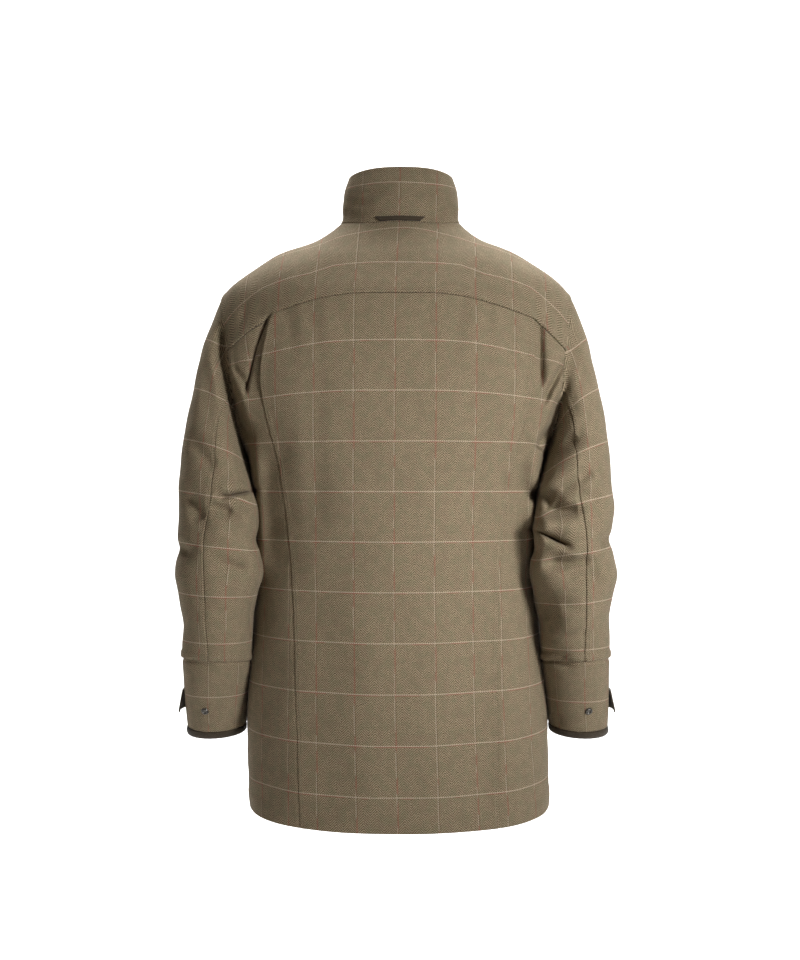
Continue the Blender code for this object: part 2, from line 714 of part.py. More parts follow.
def cuff_tab_sheet(side):
    """Strap over the cuff: sewn at its front end, with its free end flaring away along the lower edge."""
    position = np.linspace(*TAB_RINGS, 5)[:, None]
    phi = np.linspace(*TAB_ANGLES, 9)[None, :]
    position, phi = np.broadcast_arrays(position, phi)
    to_end = ease(phi, TAB_ANGLES[0] + 40, TAB_ANGLES[1])
    to_foot = (position - TAB_RINGS[0]) / (TAB_RINGS[1] - TAB_RINGS[0])
    lift = TAB_CLEARANCE + TRIM_CLOTH + TAB_FLARE * to_end * (0.12 + 0.88 * to_foot)
    return sleeve_wall(phi, position, side, lift, TRIM_CLOTH)


def hanger_loop_sheet():
    """Tape loop at the back neck, its two ends slanting up into the collar seam."""
    share = np.linspace(0.0, 1.0, 4)[:, None]
    half_length = LOOP_HALF_LENGTH - LOOP_END_SLANT * share
    row = LOOP_TOP_ROW + LOOP_WIDTH_ROWS * share
    reach = np.linspace(-1.0, 1.0, 11)[None, :]
    angle = angle_at_x(half_length * reach, np.broadcast_to(row, (4, 11)))
    lift = LOOP_CLEARANCE + TRIM_CLOTH + LOOP_BOW * (1 - reach**2) * np.ones_like(share)
    return trunk_wall(angle, np.broadcast_to(row, angle.shape), lift, TRIM_CLOTH)


def stud_on_trunk(x, row, lift):
    angle = angle_at_x(x, row, front=True)[None]
    row = np.array([row], float)
    outer, _ = trunk_wall(angle, row, lift)
    return outer[0], trunk_normals(angle, row)[0]


def stud_on_sleeve(side, phi, position, lift):
    phi, position = np.array([float(phi)]), np.array([float(position)])
    outer, inner = sleeve_wall(phi, position, side, lift)
    return outer[0], unit(outer - inner)[0]


# The coat


def build_coat():
    coat = start_scene()
    tweed = make_material("tweed", (0.218, 0.171, 0.112), 0.95)
    trim = make_material("dark_trim", (0.050, 0.036, 0.022), 0.80)
    metal = make_material("stud_metal", (0.075, 0.072, 0.066), 0.40, 0.9)

    cloth_panel(coat, "collar", collar_sheet(), tweed)
    cloth_panel(coat, "yoke", yoke_sheet(), tweed)
    cloth_panel(coat, "back_centre", back_centre_sheet(), tweed)
    cloth_panel(coat, "hanger_loop", hanger_loop_sheet(), trim)

    for side, word in ((1, "right"), (-1, "left")):
        cloth_panel(coat, f"back_side_{word}", back_side_sheet(side), tweed)
        cloth_panel(coat, f"front_{word}", front_sheet(side), tweed)
        cloth_panel(coat, f"sleeve_top_{word}", sleeve_sheet(side, False), tweed)
        cloth_panel(coat, f"sleeve_under_{word}", sleeve_sheet(side, True), tweed)
        seam = SEAM_GAP * CUFF_GAP_SHARE / 2 / RING_SPACING
        binding_from = CUFF_EDGE_RING - BINDING_WIDTH_RINGS
        cuff = ring_band(side, CUFF_SEAM_RING + seam, binding_from - seam, 5)
        cloth_panel(coat, f"cuff_{word}", cuff, tweed, closed=True)
        binding = ring_band(
            side, binding_from + seam, CUFF_EDGE_RING, 2, BINDING_OUT, BINDING_IN
        )
        cloth_panel(coat, f"cuff_binding_{word}", binding, trim, closed=True)
        cloth_panel(coat, f"cuff_tab_{word}", cuff_tab_sheet(side), trim)
        point, normal = stud_on_sleeve(side, CUFF_STUD_ANGLE, CUFF_STUD_RING, 0.0)
        press_stud(coat, f"cuff_stud_{word}", point, normal, metal)

    for number, row in enumerate(FRONT_STUD_ROWS, 1):
        point, normal = stud_on_trunk(0.0, row, OVERLAP_LIFT)
        press_stud(coat, f"front_stud_{number}", point, normal, metal)


build_coat()
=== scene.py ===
"""Tweed field coat as it looks: thin cloth shells on the part's lofts, with seams, stitching and creases.

Metres, +Z up, +X to the coat's own right, +Y to its front, origin at the back neck seam's level.
"""

import math
from collections import namedtuple

import bpy
import numpy as np
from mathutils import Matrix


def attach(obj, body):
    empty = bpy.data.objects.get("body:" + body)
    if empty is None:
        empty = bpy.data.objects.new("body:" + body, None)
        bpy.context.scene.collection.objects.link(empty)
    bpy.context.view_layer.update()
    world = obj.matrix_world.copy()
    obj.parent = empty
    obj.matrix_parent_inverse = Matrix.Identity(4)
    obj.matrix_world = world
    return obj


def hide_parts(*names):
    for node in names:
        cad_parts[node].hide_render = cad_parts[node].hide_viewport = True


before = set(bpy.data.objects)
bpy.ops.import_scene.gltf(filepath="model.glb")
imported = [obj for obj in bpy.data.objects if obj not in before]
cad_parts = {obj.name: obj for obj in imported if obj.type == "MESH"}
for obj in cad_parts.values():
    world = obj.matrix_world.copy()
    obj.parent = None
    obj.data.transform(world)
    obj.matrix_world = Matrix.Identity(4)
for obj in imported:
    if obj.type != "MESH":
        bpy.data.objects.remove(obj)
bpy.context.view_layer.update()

# The lofts, with the sizes of the part

COLLAR_TOP_ROW = -3
NECK_ROW = 0
YOKE_ROW = 4
ARMPIT_ROW = 7
HEM_ROW = 14

Section = namedtuple(
    "Section", "z_back z_side z_front half_width y_back y_front roundness back_seam_x"
)
SECTIONS = [
    Section(0.084, 0.079, 0.000, 0.0775, -0.0620, 0.052, 2.00, 0.195),
    Section(0.056, 0.058, -0.028, 0.0845, -0.0710, 0.057, 2.00, 0.195),
    Section(0.026, 0.034, -0.056, 0.0872, -0.0765, 0.060, 2.00, 0.195),
    Section(0.000, 0.009, -0.080, 0.0896, -0.0790, 0.063, 2.00, 0.195),
    Section(-0.028, -0.017, -0.100, 0.1250, -0.0970, 0.080, 2.10, 0.195),
    Section(-0.056, -0.046, -0.122, 0.1905, -0.1160, 0.096, 2.20, 0.195),
    Section(-0.083, -0.100, -0.147, 0.2570, -0.1310, 0.108, 2.35, 0.195),
    Section(-0.112, -0.172, -0.178, 0.2740, -0.1430, 0.119, 2.40, 0.195),
    Section(-0.190, -0.225, -0.225, 0.2680, -0.1530, 0.130, 2.45, 0.195),
    Section(-0.265, -0.280, -0.280, 0.2490, -0.1560, 0.142, 2.45, 0.187),
    Section(-0.335, -0.335, -0.335, 0.2232, -0.1550, 0.152, 2.30, 0.171),
    Section(-0.400, -0.400, -0.400, 0.2155, -0.1510, 0.164, 2.08, 0.159),
    Section(-0.470, -0.470, -0.470, 0.2131, -0.1480, 0.171, 2.00, 0.1515),
    Section(-0.550, -0.550, -0.550, 0.2148, -0.1490, 0.175, 2.00, 0.146),
    Section(-0.640, -0.640, -0.640, 0.2218, -0.1540, 0.178, 2.00, 0.1435),
    Section(-0.730, -0.730, -0.728, 0.2260, -0.1590, 0.179, 2.05, 0.1415),
    Section(-0.803, -0.801, -0.799, 0.2256, -0.1630, 0.177, 2.20, 0.140),
    Section(-0.862, -0.859, -0.857, 0.2230, -0.1660, 0.174, 2.30, 0.139),
]
SHOULDER_POWER = 5
ARMHOLE_MID_ROW = 5
ARMHOLE_HALF_ROWS = 2
ARMHOLE_BACK_ANGLE = math.radians(18)
ARMHOLE_FRONT_ANGLE = math.radians(20)
YOKE_BACK_CORNER = 75
YOKE_FRONT_CORNER = 60
LEVEL_ROW = 6

SleeveRing = namedtuple(
    "SleeveRing", "outer_x outer_z inner_x inner_z y_mid half_depth tilt"
)
SLEEVE_RINGS = [
    SleeveRing(0.2824, -0.164, 0.2200, -0.349, -0.020, 0.086, 0.00),
    SleeveRing(0.2940, -0.224, 0.2112, -0.379, -0.043, 0.084, 0.00),
    SleeveRing(0.3065, -0.298, 0.2022, -0.417, -0.058, 0.082, 0.00),
    SleeveRing(0.3125, -0.373, 0.1962, -0.455, -0.066, 0.080, 0.00),
    SleeveRing(0.3155, -0.438, 0.1970, -0.495, -0.065, 0.079, 0.00),
    SleeveRing(0.3165, -0.507, 0.2020, -0.540, -0.062, 0.077, 0.00),
    SleeveRing(0.3155, -0.572, 0.2080, -0.589, -0.050, 0.073, -0.03),
    SleeveRing(0.3155, -0.635, 0.2155, -0.640, -0.031, 0.067, -0.06),
    SleeveRing(0.3175, -0.698, 0.2240, -0.698, -0.004, 0.061, -0.02),
    SleeveRing(0.3195, -0.757, 0.2320, -0.755, 0.024, 0.056, 0.04),
]
CUFF_SEAM_RING = 8
CUFF_EDGE_RING = 10
SEAM_PULL_TOP = 0.070
SEAM_PULL_ARMPIT = 0.016
SLEEVE_BACK_SEAM = (105, 99, 91, 90, 84, 78, 81, 82, 85, 83, 83)
SLEEVE_FRONT_SEAM = (240, 241, 242, 243, 243, 242, 241, 240, 240, 240, 240)

Sway = namedtuple("Sway", "z x")
SWAYS = [
    Sway(-0.90, 0.000),
    Sway(-0.70, -0.005),
    Sway(-0.48, -0.007),
    Sway(-0.30, -0.006),
    Sway(-0.10, -0.005),
    Sway(0.00, 0.000),
    Sway(0.10, 0.002),
]

PLEAT_DEPTH = 0.007
PLEAT_UNDERLAP = 0.009
PLEAT_REACH = 0.8
PLEAT_FLAT_SHARE = 0.1
LEFT_PLEAT_LEAN = 0.020
LEFT_PLEAT_ROWS = (3.8, 5.6)
PleatRow = namedtuple("PleatRow", "row depth_share underlap_share")
PLEAT = [
    PleatRow(4.00, 0.00, 0.0),
    PleatRow(4.12, 0.52, 0.0),
    PleatRow(4.25, 0.90, 0.9),
    PleatRow(4.48, 1.00, 1.0),
    PleatRow(5.00, 1.00, 1.0),
    PleatRow(5.30, 0.62, 0.0),
    PleatRow(6.00, 0.00, 0.0),
]
FRONT_OVERLAP = 0.020
OVERLAP_LIFT = 0.0033
LIFT_FROM_X = -0.046
LIFT_TO_X = -0.028
COLLAR_FRONT_GAP = 0.004
FRONT_STUD_ROWS = (2.2, 5.2, 7.9, 9.9, 11.8)
STEP = 1e-4
SIDES = ((1.0, "right"), (-1.0, "left"))

# Room left at the seams: in radians or rows of the trunk, and in degrees or rings of the sleeves

ARMHOLE_GAP_ANGLE = 0.005
ARMHOLE_GAP_FADE = 0.4
SIDE_SEAM_ANGLE = 0.0006
PLEAT_SEAM_ANGLE = 0.0004
SHOULDER_SEAM_ANGLE = 0.0015
YOKE_SEAM_ROOM = 0.002
SIDE_BACK_ROOM = 0.004
NECK_SEAM_ROOM = 0.004
COLLAR_SEAM_ROOM = 0.006
SLEEVE_START = 0.015
BACK_SEAM_DEGREES = 0.25
FRONT_SEAM_DEGREES = 0.30
CUFF_SEAM_ROOM = 0.002
CUFF_END_ROOM = 0.190
BINDING_RINGS = 0.188

# Creases, seen from behind or from the front: both ends, half width and depth (a ridge where it is negative)

Fold = namedtuple("Fold", "x1 z1 x2 z2 width depth")
BROAD_FOLDS = [
    # cloth that bridges the hollows between the sleeves and the trunk, and the flat right side of the back
    Fold(0.2260, -0.2050, 0.2120, -0.3100, 0.0220, -0.0180),
    Fold(-0.2260, -0.2300, -0.2140, -0.3100, 0.0180, -0.0080),
    Fold(0.2030, -0.3200, 0.2000, -0.4900, 0.0170, -0.0340),
    Fold(-0.2030, -0.3300, -0.2000, -0.5000, 0.0150, -0.0200),
    Fold(0.1760, -0.2500, 0.1720, -0.8600, 0.0340, -0.0080),
]
ARMPIT_FOLDS = [
    # folds that run from the sleeves into the trunk
    Fold(0.2380, -0.2090, 0.2095, -0.2620, 0.0055, 0.0170),
    Fold(0.2330, -0.2590, 0.2260, -0.2950, 0.0065, 0.0150),
    Fold(0.2260, -0.2950, 0.2050, -0.3210, 0.0060, 0.0160),
    Fold(0.2270, -0.2520, 0.2150, -0.2960, 0.0070, -0.0041),
    Fold(0.1940, -0.3920, 0.2240, -0.4040, 0.0110, 0.0300),
    Fold(-0.2510, -0.1530, -0.2535, -0.2010, 0.0075, 0.0165),
    Fold(-0.2535, -0.2010, -0.2440, -0.2335, 0.0080, 0.0160),
    Fold(-0.2440, -0.2335, -0.2270, -0.2895, 0.0090, 0.0180),
    Fold(-0.2270, -0.2895, -0.2115, -0.3120, 0.0080, 0.0150),
    Fold(-0.2385, -0.2050, -0.2165, -0.2620, 0.0060, -0.0034),
    Fold(-0.2340, -0.2110, -0.2130, -0.2430, 0.0050, 0.0070),
]
TUCKS = [
    # folds that close: right armpit, right elbow, left elbow, and the left pleat in two lengths
    Fold(0.2000, -0.3270, 0.2125, -0.3330, 0.0050, 0.0160),
    Fold(0.1970, -0.4440, 0.2430, -0.4670, 0.0062, 0.0280),
    Fold(-0.2440, -0.3980, -0.2030, -0.3895, 0.0058, 0.0320),
    Fold(-0.1810, -0.1400, -0.1985, -0.1860, 0.0045, 0.0110),
    Fold(-0.1985, -0.1860, -0.2140, -0.2475, 0.0050, 0.0120),
]
TUCK_CLOSING = 0.82
TUCK_REACH = 2.0
SLEEVE_FOLDS = [
    # right sleeve
    Fold(0.2570, -0.3135, 0.2146, -0.3400, 0.0110, 0.0215),
    Fold(0.2200, -0.3660, 0.2620, -0.3710, 0.0160, -0.0053),
    Fold(0.2000, -0.4190, 0.2555, -0.4160, 0.0080, 0.0205),
    Fold(0.2040, -0.4310, 0.2520, -0.4440, 0.0080, -0.0078),
    Fold(0.2125, -0.4660, 0.2615, -0.4820, 0.0100, -0.0110),
    Fold(0.2165, -0.4920, 0.2740, -0.4866, 0.0090, 0.0185),
    Fold(0.2880, -0.4625, 0.3080, -0.4580, 0.0080, 0.0125),
    Fold(0.2735, -0.3600, 0.2315, -0.3880, 0.0100, 0.0110),
    Fold(0.2880, -0.4020, 0.2525, -0.3950, 0.0090, 0.0090),
    Fold(0.2400, -0.5120, 0.2875, -0.5040, 0.0100, 0.0090),
    Fold(0.2175, -0.5430, 0.2595, -0.5570, 0.0100, 0.0050),
    Fold(0.2315, -0.5990, 0.2875, -0.5880, 0.0080, 0.0045),
    Fold(0.2620, -0.1900, 0.2760, -0.2620, 0.0120, 0.0050),
    Fold(0.2080, -0.5430, 0.2220, -0.5750, 0.0120, 0.0160),
    Fold(0.2180, -0.6240, 0.2460, -0.6290, 0.0070, 0.0080),
    Fold(0.2830, -0.3560, 0.2980, -0.3770, 0.0050, 0.0050),
    Fold(0.2770, -0.3620, 0.2900, -0.3840, 0.0050, -0.0030),
    Fold(0.2220, -0.6370, 0.2500, -0.6410, 0.0060, 0.0080),
    # left sleeve
    Fold(-0.2960, -0.6370, -0.2620, -0.6430, 0.0060, 0.0050),
    Fold(-0.2650, -0.2100, -0.2400, -0.3000, 0.0100, -0.0044),
    Fold(-0.2460, -0.3840, -0.2050, -0.3740, 0.0090, -0.0095),
    Fold(-0.2220, -0.4020, -0.2030, -0.4140, 0.0090, 0.0145),
    Fold(-0.2605, -0.4105, -0.2295, -0.4220, 0.0100, 0.0170),
    Fold(-0.2930, -0.3950, -0.2705, -0.4300, 0.0130, 0.0176),
    Fold(-0.2745, -0.2000, -0.2635, -0.2900, 0.0130, 0.0069),
    Fold(-0.2890, -0.3180, -0.2535, -0.3600, 0.0110, 0.0075),
    Fold(-0.2400, -0.3350, -0.2120, -0.3730, 0.0120, -0.0044),
    Fold(-0.3080, -0.4700, -0.2920, -0.4780, 0.0080, 0.0099),
    Fold(-0.2535, -0.4440, -0.2115, -0.4650, 0.0120, -0.0044),
    Fold(-0.2535, -0.4865, -0.2045, -0.5075, 0.0110, 0.0100),
    Fold(-0.2890, -0.5430, -0.2395, -0.5570, 0.0110, 0.0054),
    Fold(-0.2185, -0.5710, -0.2675, -0.5990, 0.0100, 0.0050),
]
TRUNK_FOLDS = [
    # gathers below the yoke
    Fold(-0.1540, -0.1280, -0.1460, -0.1960, 0.0065, 0.0018),
    Fold(-0.1380, -0.1240, -0.1320, -0.1760, 0.0060, -0.0012),
    Fold(-0.1180, -0.1220, -0.1080, -0.2040, 0.0080, 0.0017),
    Fold(-0.0800, -0.1180, -0.0740, -0.1840, 0.0070, 0.0013),
    Fold(0.0460, -0.1180, 0.0400, -0.1880, 0.0070, 0.0012),
    Fold(0.0900, -0.1200, 0.0820, -0.2040, 0.0090, 0.0017),
    Fold(0.1100, -0.1220, 0.1060, -0.1780, 0.0060, -0.0010),
    Fold(0.1320, -0.1260, 0.1240, -0.2000, 0.0080, 0.0019),
    Fold(0.1640, -0.1320, 0.1560, -0.2060, 0.0070, 0.0016),
    # dimples of the yoke
    Fold(-0.2140, -0.1190, -0.2220, -0.1500, 0.0060, 0.0036),
    Fold(-0.1980, -0.1220, -0.1960, -0.1380, 0.0060, 0.0020),
    Fold(0.2140, -0.1120, 0.2280, -0.1380, 0.0080, 0.0020),
    Fold(-0.1960, -0.0700, -0.2160, -0.0900, 0.0120, 0.0018),
    # the groove beside the right pleat
    Fold(0.2045, -0.1520, 0.2050, -0.2400, 0.0055, 0.0100),
    # waist and sides
    Fold(-0.1960, -0.4520, -0.1400, -0.4120, 0.0160, 0.0040),
    Fold(-0.2040, -0.4780, -0.1500, -0.4900, 0.0150, 0.0032),
    Fold(-0.1900, -0.3600, -0.1500, -0.3300, 0.0140, 0.0024),
    Fold(0.1960, -0.4040, 0.1460, -0.3760, 0.0130, 0.0040),
    Fold(0.1960, -0.4300, 0.1400, -0.4620, 0.0140, 0.0032),
    Fold(0.2060, -0.3400, 0.1680, -0.3060, 0.0120, 0.0026),
    # long soft falls
    Fold(-0.1120, -0.2360, -0.1080, -0.4600, 0.0150, 0.0026),
    Fold(-0.1400, -0.2500, -0.1360, -0.4000, 0.0140, -0.0014),
    Fold(0.1080, -0.2500, 0.1120, -0.4400, 0.0160, 0.0020),
    Fold(-0.0920, -0.4800, -0.1040, -0.8500, 0.0300, 0.0034),
    Fold(-0.0400, -0.5600, -0.0360, -0.8500, 0.0260, -0.0020),
    Fold(0.1040, -0.5400, 0.1120, -0.8500, 0.0300, 0.0034),
    Fold(0.0440, -0.6000, 0.0400, -0.8500, 0.0240, -0.0018),
    Fold(-0.1800, -0.6000, -0.1880, -0.8500, 0.0220, 0.0028),
    Fold(0.1840, -0.6200, 0.1900, -0.8500, 0.0220, 0.0028),
    # collar
    Fold(-0.0500, 0.0440, -0.0260, 0.0430, 0.0050, 0.0032),
    Fold(-0.0700, 0.0300, -0.0480, 0.0300, 0.0050, 0.0034),
    Fold(0.0100, 0.0490, 0.0560, 0.0430, 0.0060, 0.0028),
    Fold(0.0260, 0.0220, 0.0560, 0.0180, 0.0050, 0.0030),
    Fold(-0.0260, 0.0260, -0.0060, 0.0250, 0.0050, 0.0022),
    Fold(-0.0740, 0.0440, -0.0820, 0.0120, 0.0060, 0.0040),
    Fold(0.0660, 0.0440, 0.0800, 0.0100, 0.0050, 0.0026),
    Fold(-0.0400, 0.0360, 0.0300, 0.0340, 0.0060, -0.0012),
]
SLEEVE_FRONT_FOLDS = [
    Fold(0.2500, -0.2900, 0.2260, -0.3500, 0.0100, 0.0040),
    Fold(0.2220, -0.4520, 0.2840, -0.4700, 0.0100, 0.0070),
    Fold(0.2260, -0.4780, 0.2800, -0.4860, 0.0090, -0.0025),
    Fold(0.2260, -0.5100, 0.2920, -0.5000, 0.0110, 0.0050),
    Fold(0.2360, -0.5600, 0.2900, -0.5760, 0.0110, 0.0022),
    Fold(-0.2520, -0.3000, -0.2280, -0.3520, 0.0100, 0.0035),
    Fold(-0.2220, -0.4460, -0.2860, -0.4620, 0.0100, 0.0070),
    Fold(-0.2300, -0.4720, -0.2840, -0.4800, 0.0090, -0.0025),
    Fold(-0.2260, -0.5020, -0.2900, -0.4940, 0.0110, 0.0050),
    Fold(-0.2340, -0.5520, -0.2920, -0.5660, 0.0110, 0.0022),
]
TRUNK_FRONT_FOLDS = [
    Fold(-0.1900, -0.4400, -0.1200, -0.4120, 0.0180, 0.0030),
    Fold(0.1860, -0.4520, 0.1160, -0.4200, 0.0180, 0.0030),
    Fold(0.1100, -0.5000, 0.1180, -0.8500, 0.0300, 0.0028),
    Fold(-0.1160, -0.5200, -0.1240, -0.8500, 0.0300, 0.0028),
    Fold(0.1500, -0.2000, 0.1960, -0.3000, 0.0180, 0.0025),
    Fold(-0.1460, -0.2060, -0.1940, -0.3060, 0.0180, 0.0025),
]
Bump = namedtuple("Bump", "side z half_height out")
SLEEVE_BUMPS = [
    Bump(1, -0.415, 0.020, 0.0035),
    Bump(1, -0.461, 0.013, -0.0050),
    Bump(1, -0.510, 0.020, 0.0055),
    Bump(1, -0.570, 0.022, -0.0025),
    Bump(-1, -0.380, 0.020, 0.0020),
    Bump(-1, -0.474, 0.012, -0.0040),
    Bump(-1, -0.510, 0.020, 0.0035),
    Bump(-1, -0.585, 0.020, -0.0030),
]
BACK_FADE = (0.0, 0.06)
FRONT_FADE = (-0.03, 0.03)
OUTER_SIDE = (0.3, 0.9)

# The cloth's slight waviness: height, waves in radians for each metre along x, y and z, and phase

Wave = namedtuple("Wave", "height along_x along_y along_z phase")
WAVES = [
    Wave(0.00045, 61, 0, 37, 1.3),
    Wave(0.00040, -58, 29, 43, 0.4),
    Wave(0.00030, 0, 71, 96, 2.1),
]

# Cloth. A line of the overcheck runs along these rows, at this height on the fronts, and this far down
# the yoke from the ridge of the shoulders. The shifts move the upright lines of each panel.

BACK_LINE_ROW = 4.86
COLLAR_LINE_ROW = -2.1
FRONT_LINE_Z = -0.181
YOKE_LINE_DOWN = 0.138
YOKE_RIDGE_Y = -0.010
YOKE_BACK_SHARE = 0.7
YOKE_DROP_SHARE = 0.8
YOKE_SHOULDER_SLANT = 0.30
YOKE_END_STRETCH = 1.2
CHECK_SHIFT = 0.0015
SIDE_BACK_SHIFT = 0.010
FRONT_SHIFT = 0.020
SLEEVE_TOP_SHIFT = 0.010
SLEEVE_UNDER_SHIFT = 0.022
CUFF_SHIFT = 0.004
RIGHT_SLEEVE_SLANT = 0.36
LEFT_SLEEVE_SLANT = 0.22
LEFT_SLEEVE_RISE = 0.012
SLEEVE_HEAD_DOWN = 0.215
SLEEVE_LINE_DOWN = 0.200
CUFF_LINE_DOWN = 0.215
SLEEVE_MIDDLE = 80.0
SLEEVE_RADIUS = 0.062

# A piece laid flat: width, length and the area of its shape (None where it is a plain strip). No piece here
# is given one.

Cut = namedtuple("Cut", "width length area")

# Grids: how far apart the points of a panel lie, and the angles at which lengths are measured

CLOTH = 0.0022
TRIM_CLOTH = 0.0018
GRID = 0.0036
FRONT_GRID = 0.0050
YOKE_GRID = 0.0040
COLLAR_GRID = 0.0035
CUFF_GRID = 0.0040
SIDE_BACK_RUN = 1.1
FRONT_RUN = 2.6
YOKE_MIDDLE_ROW = 2.0
SLEEVE_RUN = 60.0
EDGE_SHARE = 0.42
EDGE_STOPS = np.array([0, 0.5, 1.0, 1.6, 2.3, 3.1, 4.0, 5.0, 6.0, 7.2, 8.6, 10.4]) * 0.001
STITCH_LENGTH = 0.0025
STITCH_PITCH = 0.0036
STITCH_RADIUS = 0.00032
STITCH_SINK = 0.00035
STITCH_PROUD = 0.00012
STITCH_THINNING = 0.75
STITCH_GROOVE = 0.0004
STITCH_GROOVE_WIDTH = 0.0011
SEAM_FADE = 0.003
RIM_REACH = 0.0022
PUCKER_HEIGHT = 0.00035
PUCKER_REACH = 0.009
PUCKER_LENGTHS = (0.0153, 0.0411)
PUCKER_PHASE = 0.7

# One sewn edge: how proud it lies and how far in, how far its rim rolls down, and its rows of stitching.
Edge = namedtuple("Edge", "lift reach roll stitches")
PLAIN = Edge(0.0, 0.001, 0.0, ())
UNDER = Edge(-0.0004, 0.003, 0.0009, ())
SEAM = Edge(0.0, 0.001, 0.0010, ())
LAPPED = Edge(0.0011, 0.0075, 0.0009, (0.0055,))
DOUBLE = Edge(0.0010, 0.0095, 0.0009, (0.0022, 0.0080))
CUFF_SEAM = Edge(0.0022, 0.0095, 0.0014, (0.0022, 0.0080))
CUFF_TOP = Edge(-0.0012, 0.004, 0.0014, ())
FREE = Edge(0.0002, 0.004, 0.0009, ())
HEMMED = Edge(0.0010, 0.026, 0.0009, ())
STITCHED = Edge(0.0006, 0.0065, 0.0009, (0.0045,))


# Curves through tables


def hermite(here, leave, there, arrive, share):
    """The cubic from one point to the next with given leaving and arriving directions."""
    square = share * share
    cube = square * share
    return (
        here * (2 * cube - 3 * square + 1)
        + leave * (cube - 2 * square + share)
        + there * (3 * square - 2 * cube)
        + arrive * (cube - square)
    )


def through_rows(values, position):
    """A smooth (Catmull-Rom) curve through evenly numbered values, read at fractional positions."""
    values = np.asarray(values, float)
    position = np.clip(position, 0, len(values) - 1)
    start = np.minimum(position.astype(int), len(values) - 2)
    before = values[np.maximum(start - 1, 0)]
    here = values[start]
    there = values[start + 1]
    after = values[np.minimum(start + 2, len(values) - 1)]
    return hermite(here, (there - before) / 2, there, (after - here) / 2, position - start)


def ease(value, low, high):
    """Zero below low, one above high, and a smooth step between."""
    share = np.clip((value - low) / (high - low), 0.0, 1.0)
    return share * share * (3 - 2 * share)


def unit(vectors):
    """The same directions, each of length one."""
    return vectors / np.maximum(np.linalg.norm(vectors, axis=-1, keepdims=True), 1e-12)


# Lofts


def section_value(name, row):
    """One column of the trunk's sections, on a smooth curve between its rows."""
    column = [getattr(section, name) for section in SECTIONS]
    return through_rows(column, np.asarray(row, float) - COLLAR_TOP_ROW)


def trunk_points(angle, row):
    """Rings round the trunk, at heights that drop towards the shoulder.

    The radius at an angle a is (|sin a / w|^n + |cos a / d|^n)^(-1/n), with half width w and half depth d.
    """
    angle, row = np.broadcast_arrays(np.asarray(angle, float), np.asarray(row, float))
    y_back = section_value("y_back", row)
    y_front = section_value("y_front", row)
    power = section_value("roundness", row)
    across = np.abs(np.sin(angle) / section_value("half_width", row)) ** power
    along = np.abs(np.cos(angle) * 2 / (y_front - y_back)) ** power
    radius = (across + along) ** (-1 / power)
    z_side = section_value("z_side", row)
    z_middle = np.where(
        np.cos(angle) > 0, section_value("z_back", row), section_value("z_front", row)
    )
    rise = 1 - np.abs(np.sin(angle)) ** SHOULDER_POWER
    height = z_side + (z_middle - z_side) * rise
    return np.stack(
        [radius * np.sin(angle), (y_front + y_back) / 2 - radius * np.cos(angle), height], axis=-1
    )


def trunk_normals(angle, row):
    """Directions out of the trunk's cloth: a short step down crossed with a short step round."""
    round_step = trunk_points(angle + STEP, row) - trunk_points(angle - STEP, row)
    down_step = trunk_points(angle, row + STEP) - trunk_points(angle, row - STEP)
    return unit(np.cross(down_step, round_step))


def angle_at_x(x, row, front=False):
    """The trunk angle at a distance x from the middle of the back, or of the front."""
    row = np.asarray(row, float)
    half_width = section_value("half_width", row)
    half_depth = (section_value("y_front", row) - section_value("y_back", row)) / 2
    power = section_value("roundness", row)
    share = np.minimum(np.abs(x) / half_width, 0.999)
    angle = np.arctan2(x, half_depth * (1 - share**power) ** (1 / power))
    return np.pi - angle if front else angle


def armhole(phi, inset=0.0):
    """The right armhole's angle and row: phi 0 at the shoulder, 90 at the back, 180 at the armpit."""
    phi = np.radians(np.asarray(phi, float))
    half_angle = np.where(np.sin(phi) > 0, ARMHOLE_BACK_ANGLE, ARMHOLE_FRONT_ANGLE)
    angle = np.pi / 2 - half_angle * np.sin(phi) * (1 - inset)
    return angle, ARMHOLE_MID_ROW - ARMHOLE_HALF_ROWS * np.cos(phi) * (1 - inset)


def sleeve_ring_points(phi, ring):
    """One elliptical ring of the right sleeve: phi 0 outermost, 90 at the back, 180 next to the trunk."""
    phi = np.radians(phi)
    back = np.sin(phi) * ring.half_depth
    out = (1 + np.cos(phi)) / 2
    return np.stack(
        [
            ring.inner_x + (ring.outer_x - ring.inner_x) * out,
            ring.y_mid - back,
            ring.inner_z + (ring.outer_z - ring.inner_z) * out - ring.tilt * back,
        ],
        axis=-1,
    )


def sleeve_points(phi, position):
    """The right sleeve's loft: position 0 at the armhole and one more for each ring below it."""
    phi, position = np.broadcast_arrays(np.asarray(phi, float), np.asarray(position, float))
    start = trunk_points(*armhole(phi, 0.001))
    inward = unit(trunk_points(*armhole(phi, 0.031)) - start)
    top_share = ((1 + np.cos(np.radians(phi))) / 2) ** 1.5
    pull = SEAM_PULL_ARMPIT + (SEAM_PULL_TOP - SEAM_PULL_ARMPIT) * top_share
    rings = np.stack([start] + [sleeve_ring_points(phi, ring) for ring in SLEEVE_RINGS])
    directions = np.empty_like(rings)
    directions[0] = inward * pull[..., None]
    directions[1:-1] = (rings[2:] - rings[:-2]) / 2
    directions[-1] = rings[-1] - rings[-2]
    first = np.clip(position.astype(int), 0, len(SLEEVE_RINGS) - 1)

    def pick(stack, index):
        return np.take_along_axis(stack, index[None, ..., None], axis=0)[0]

    return hermite(
        pick(rings, first),
        pick(directions, first),
        pick(rings, first + 1),
        pick(directions, first + 1),
        (position - first)[..., None],
    )


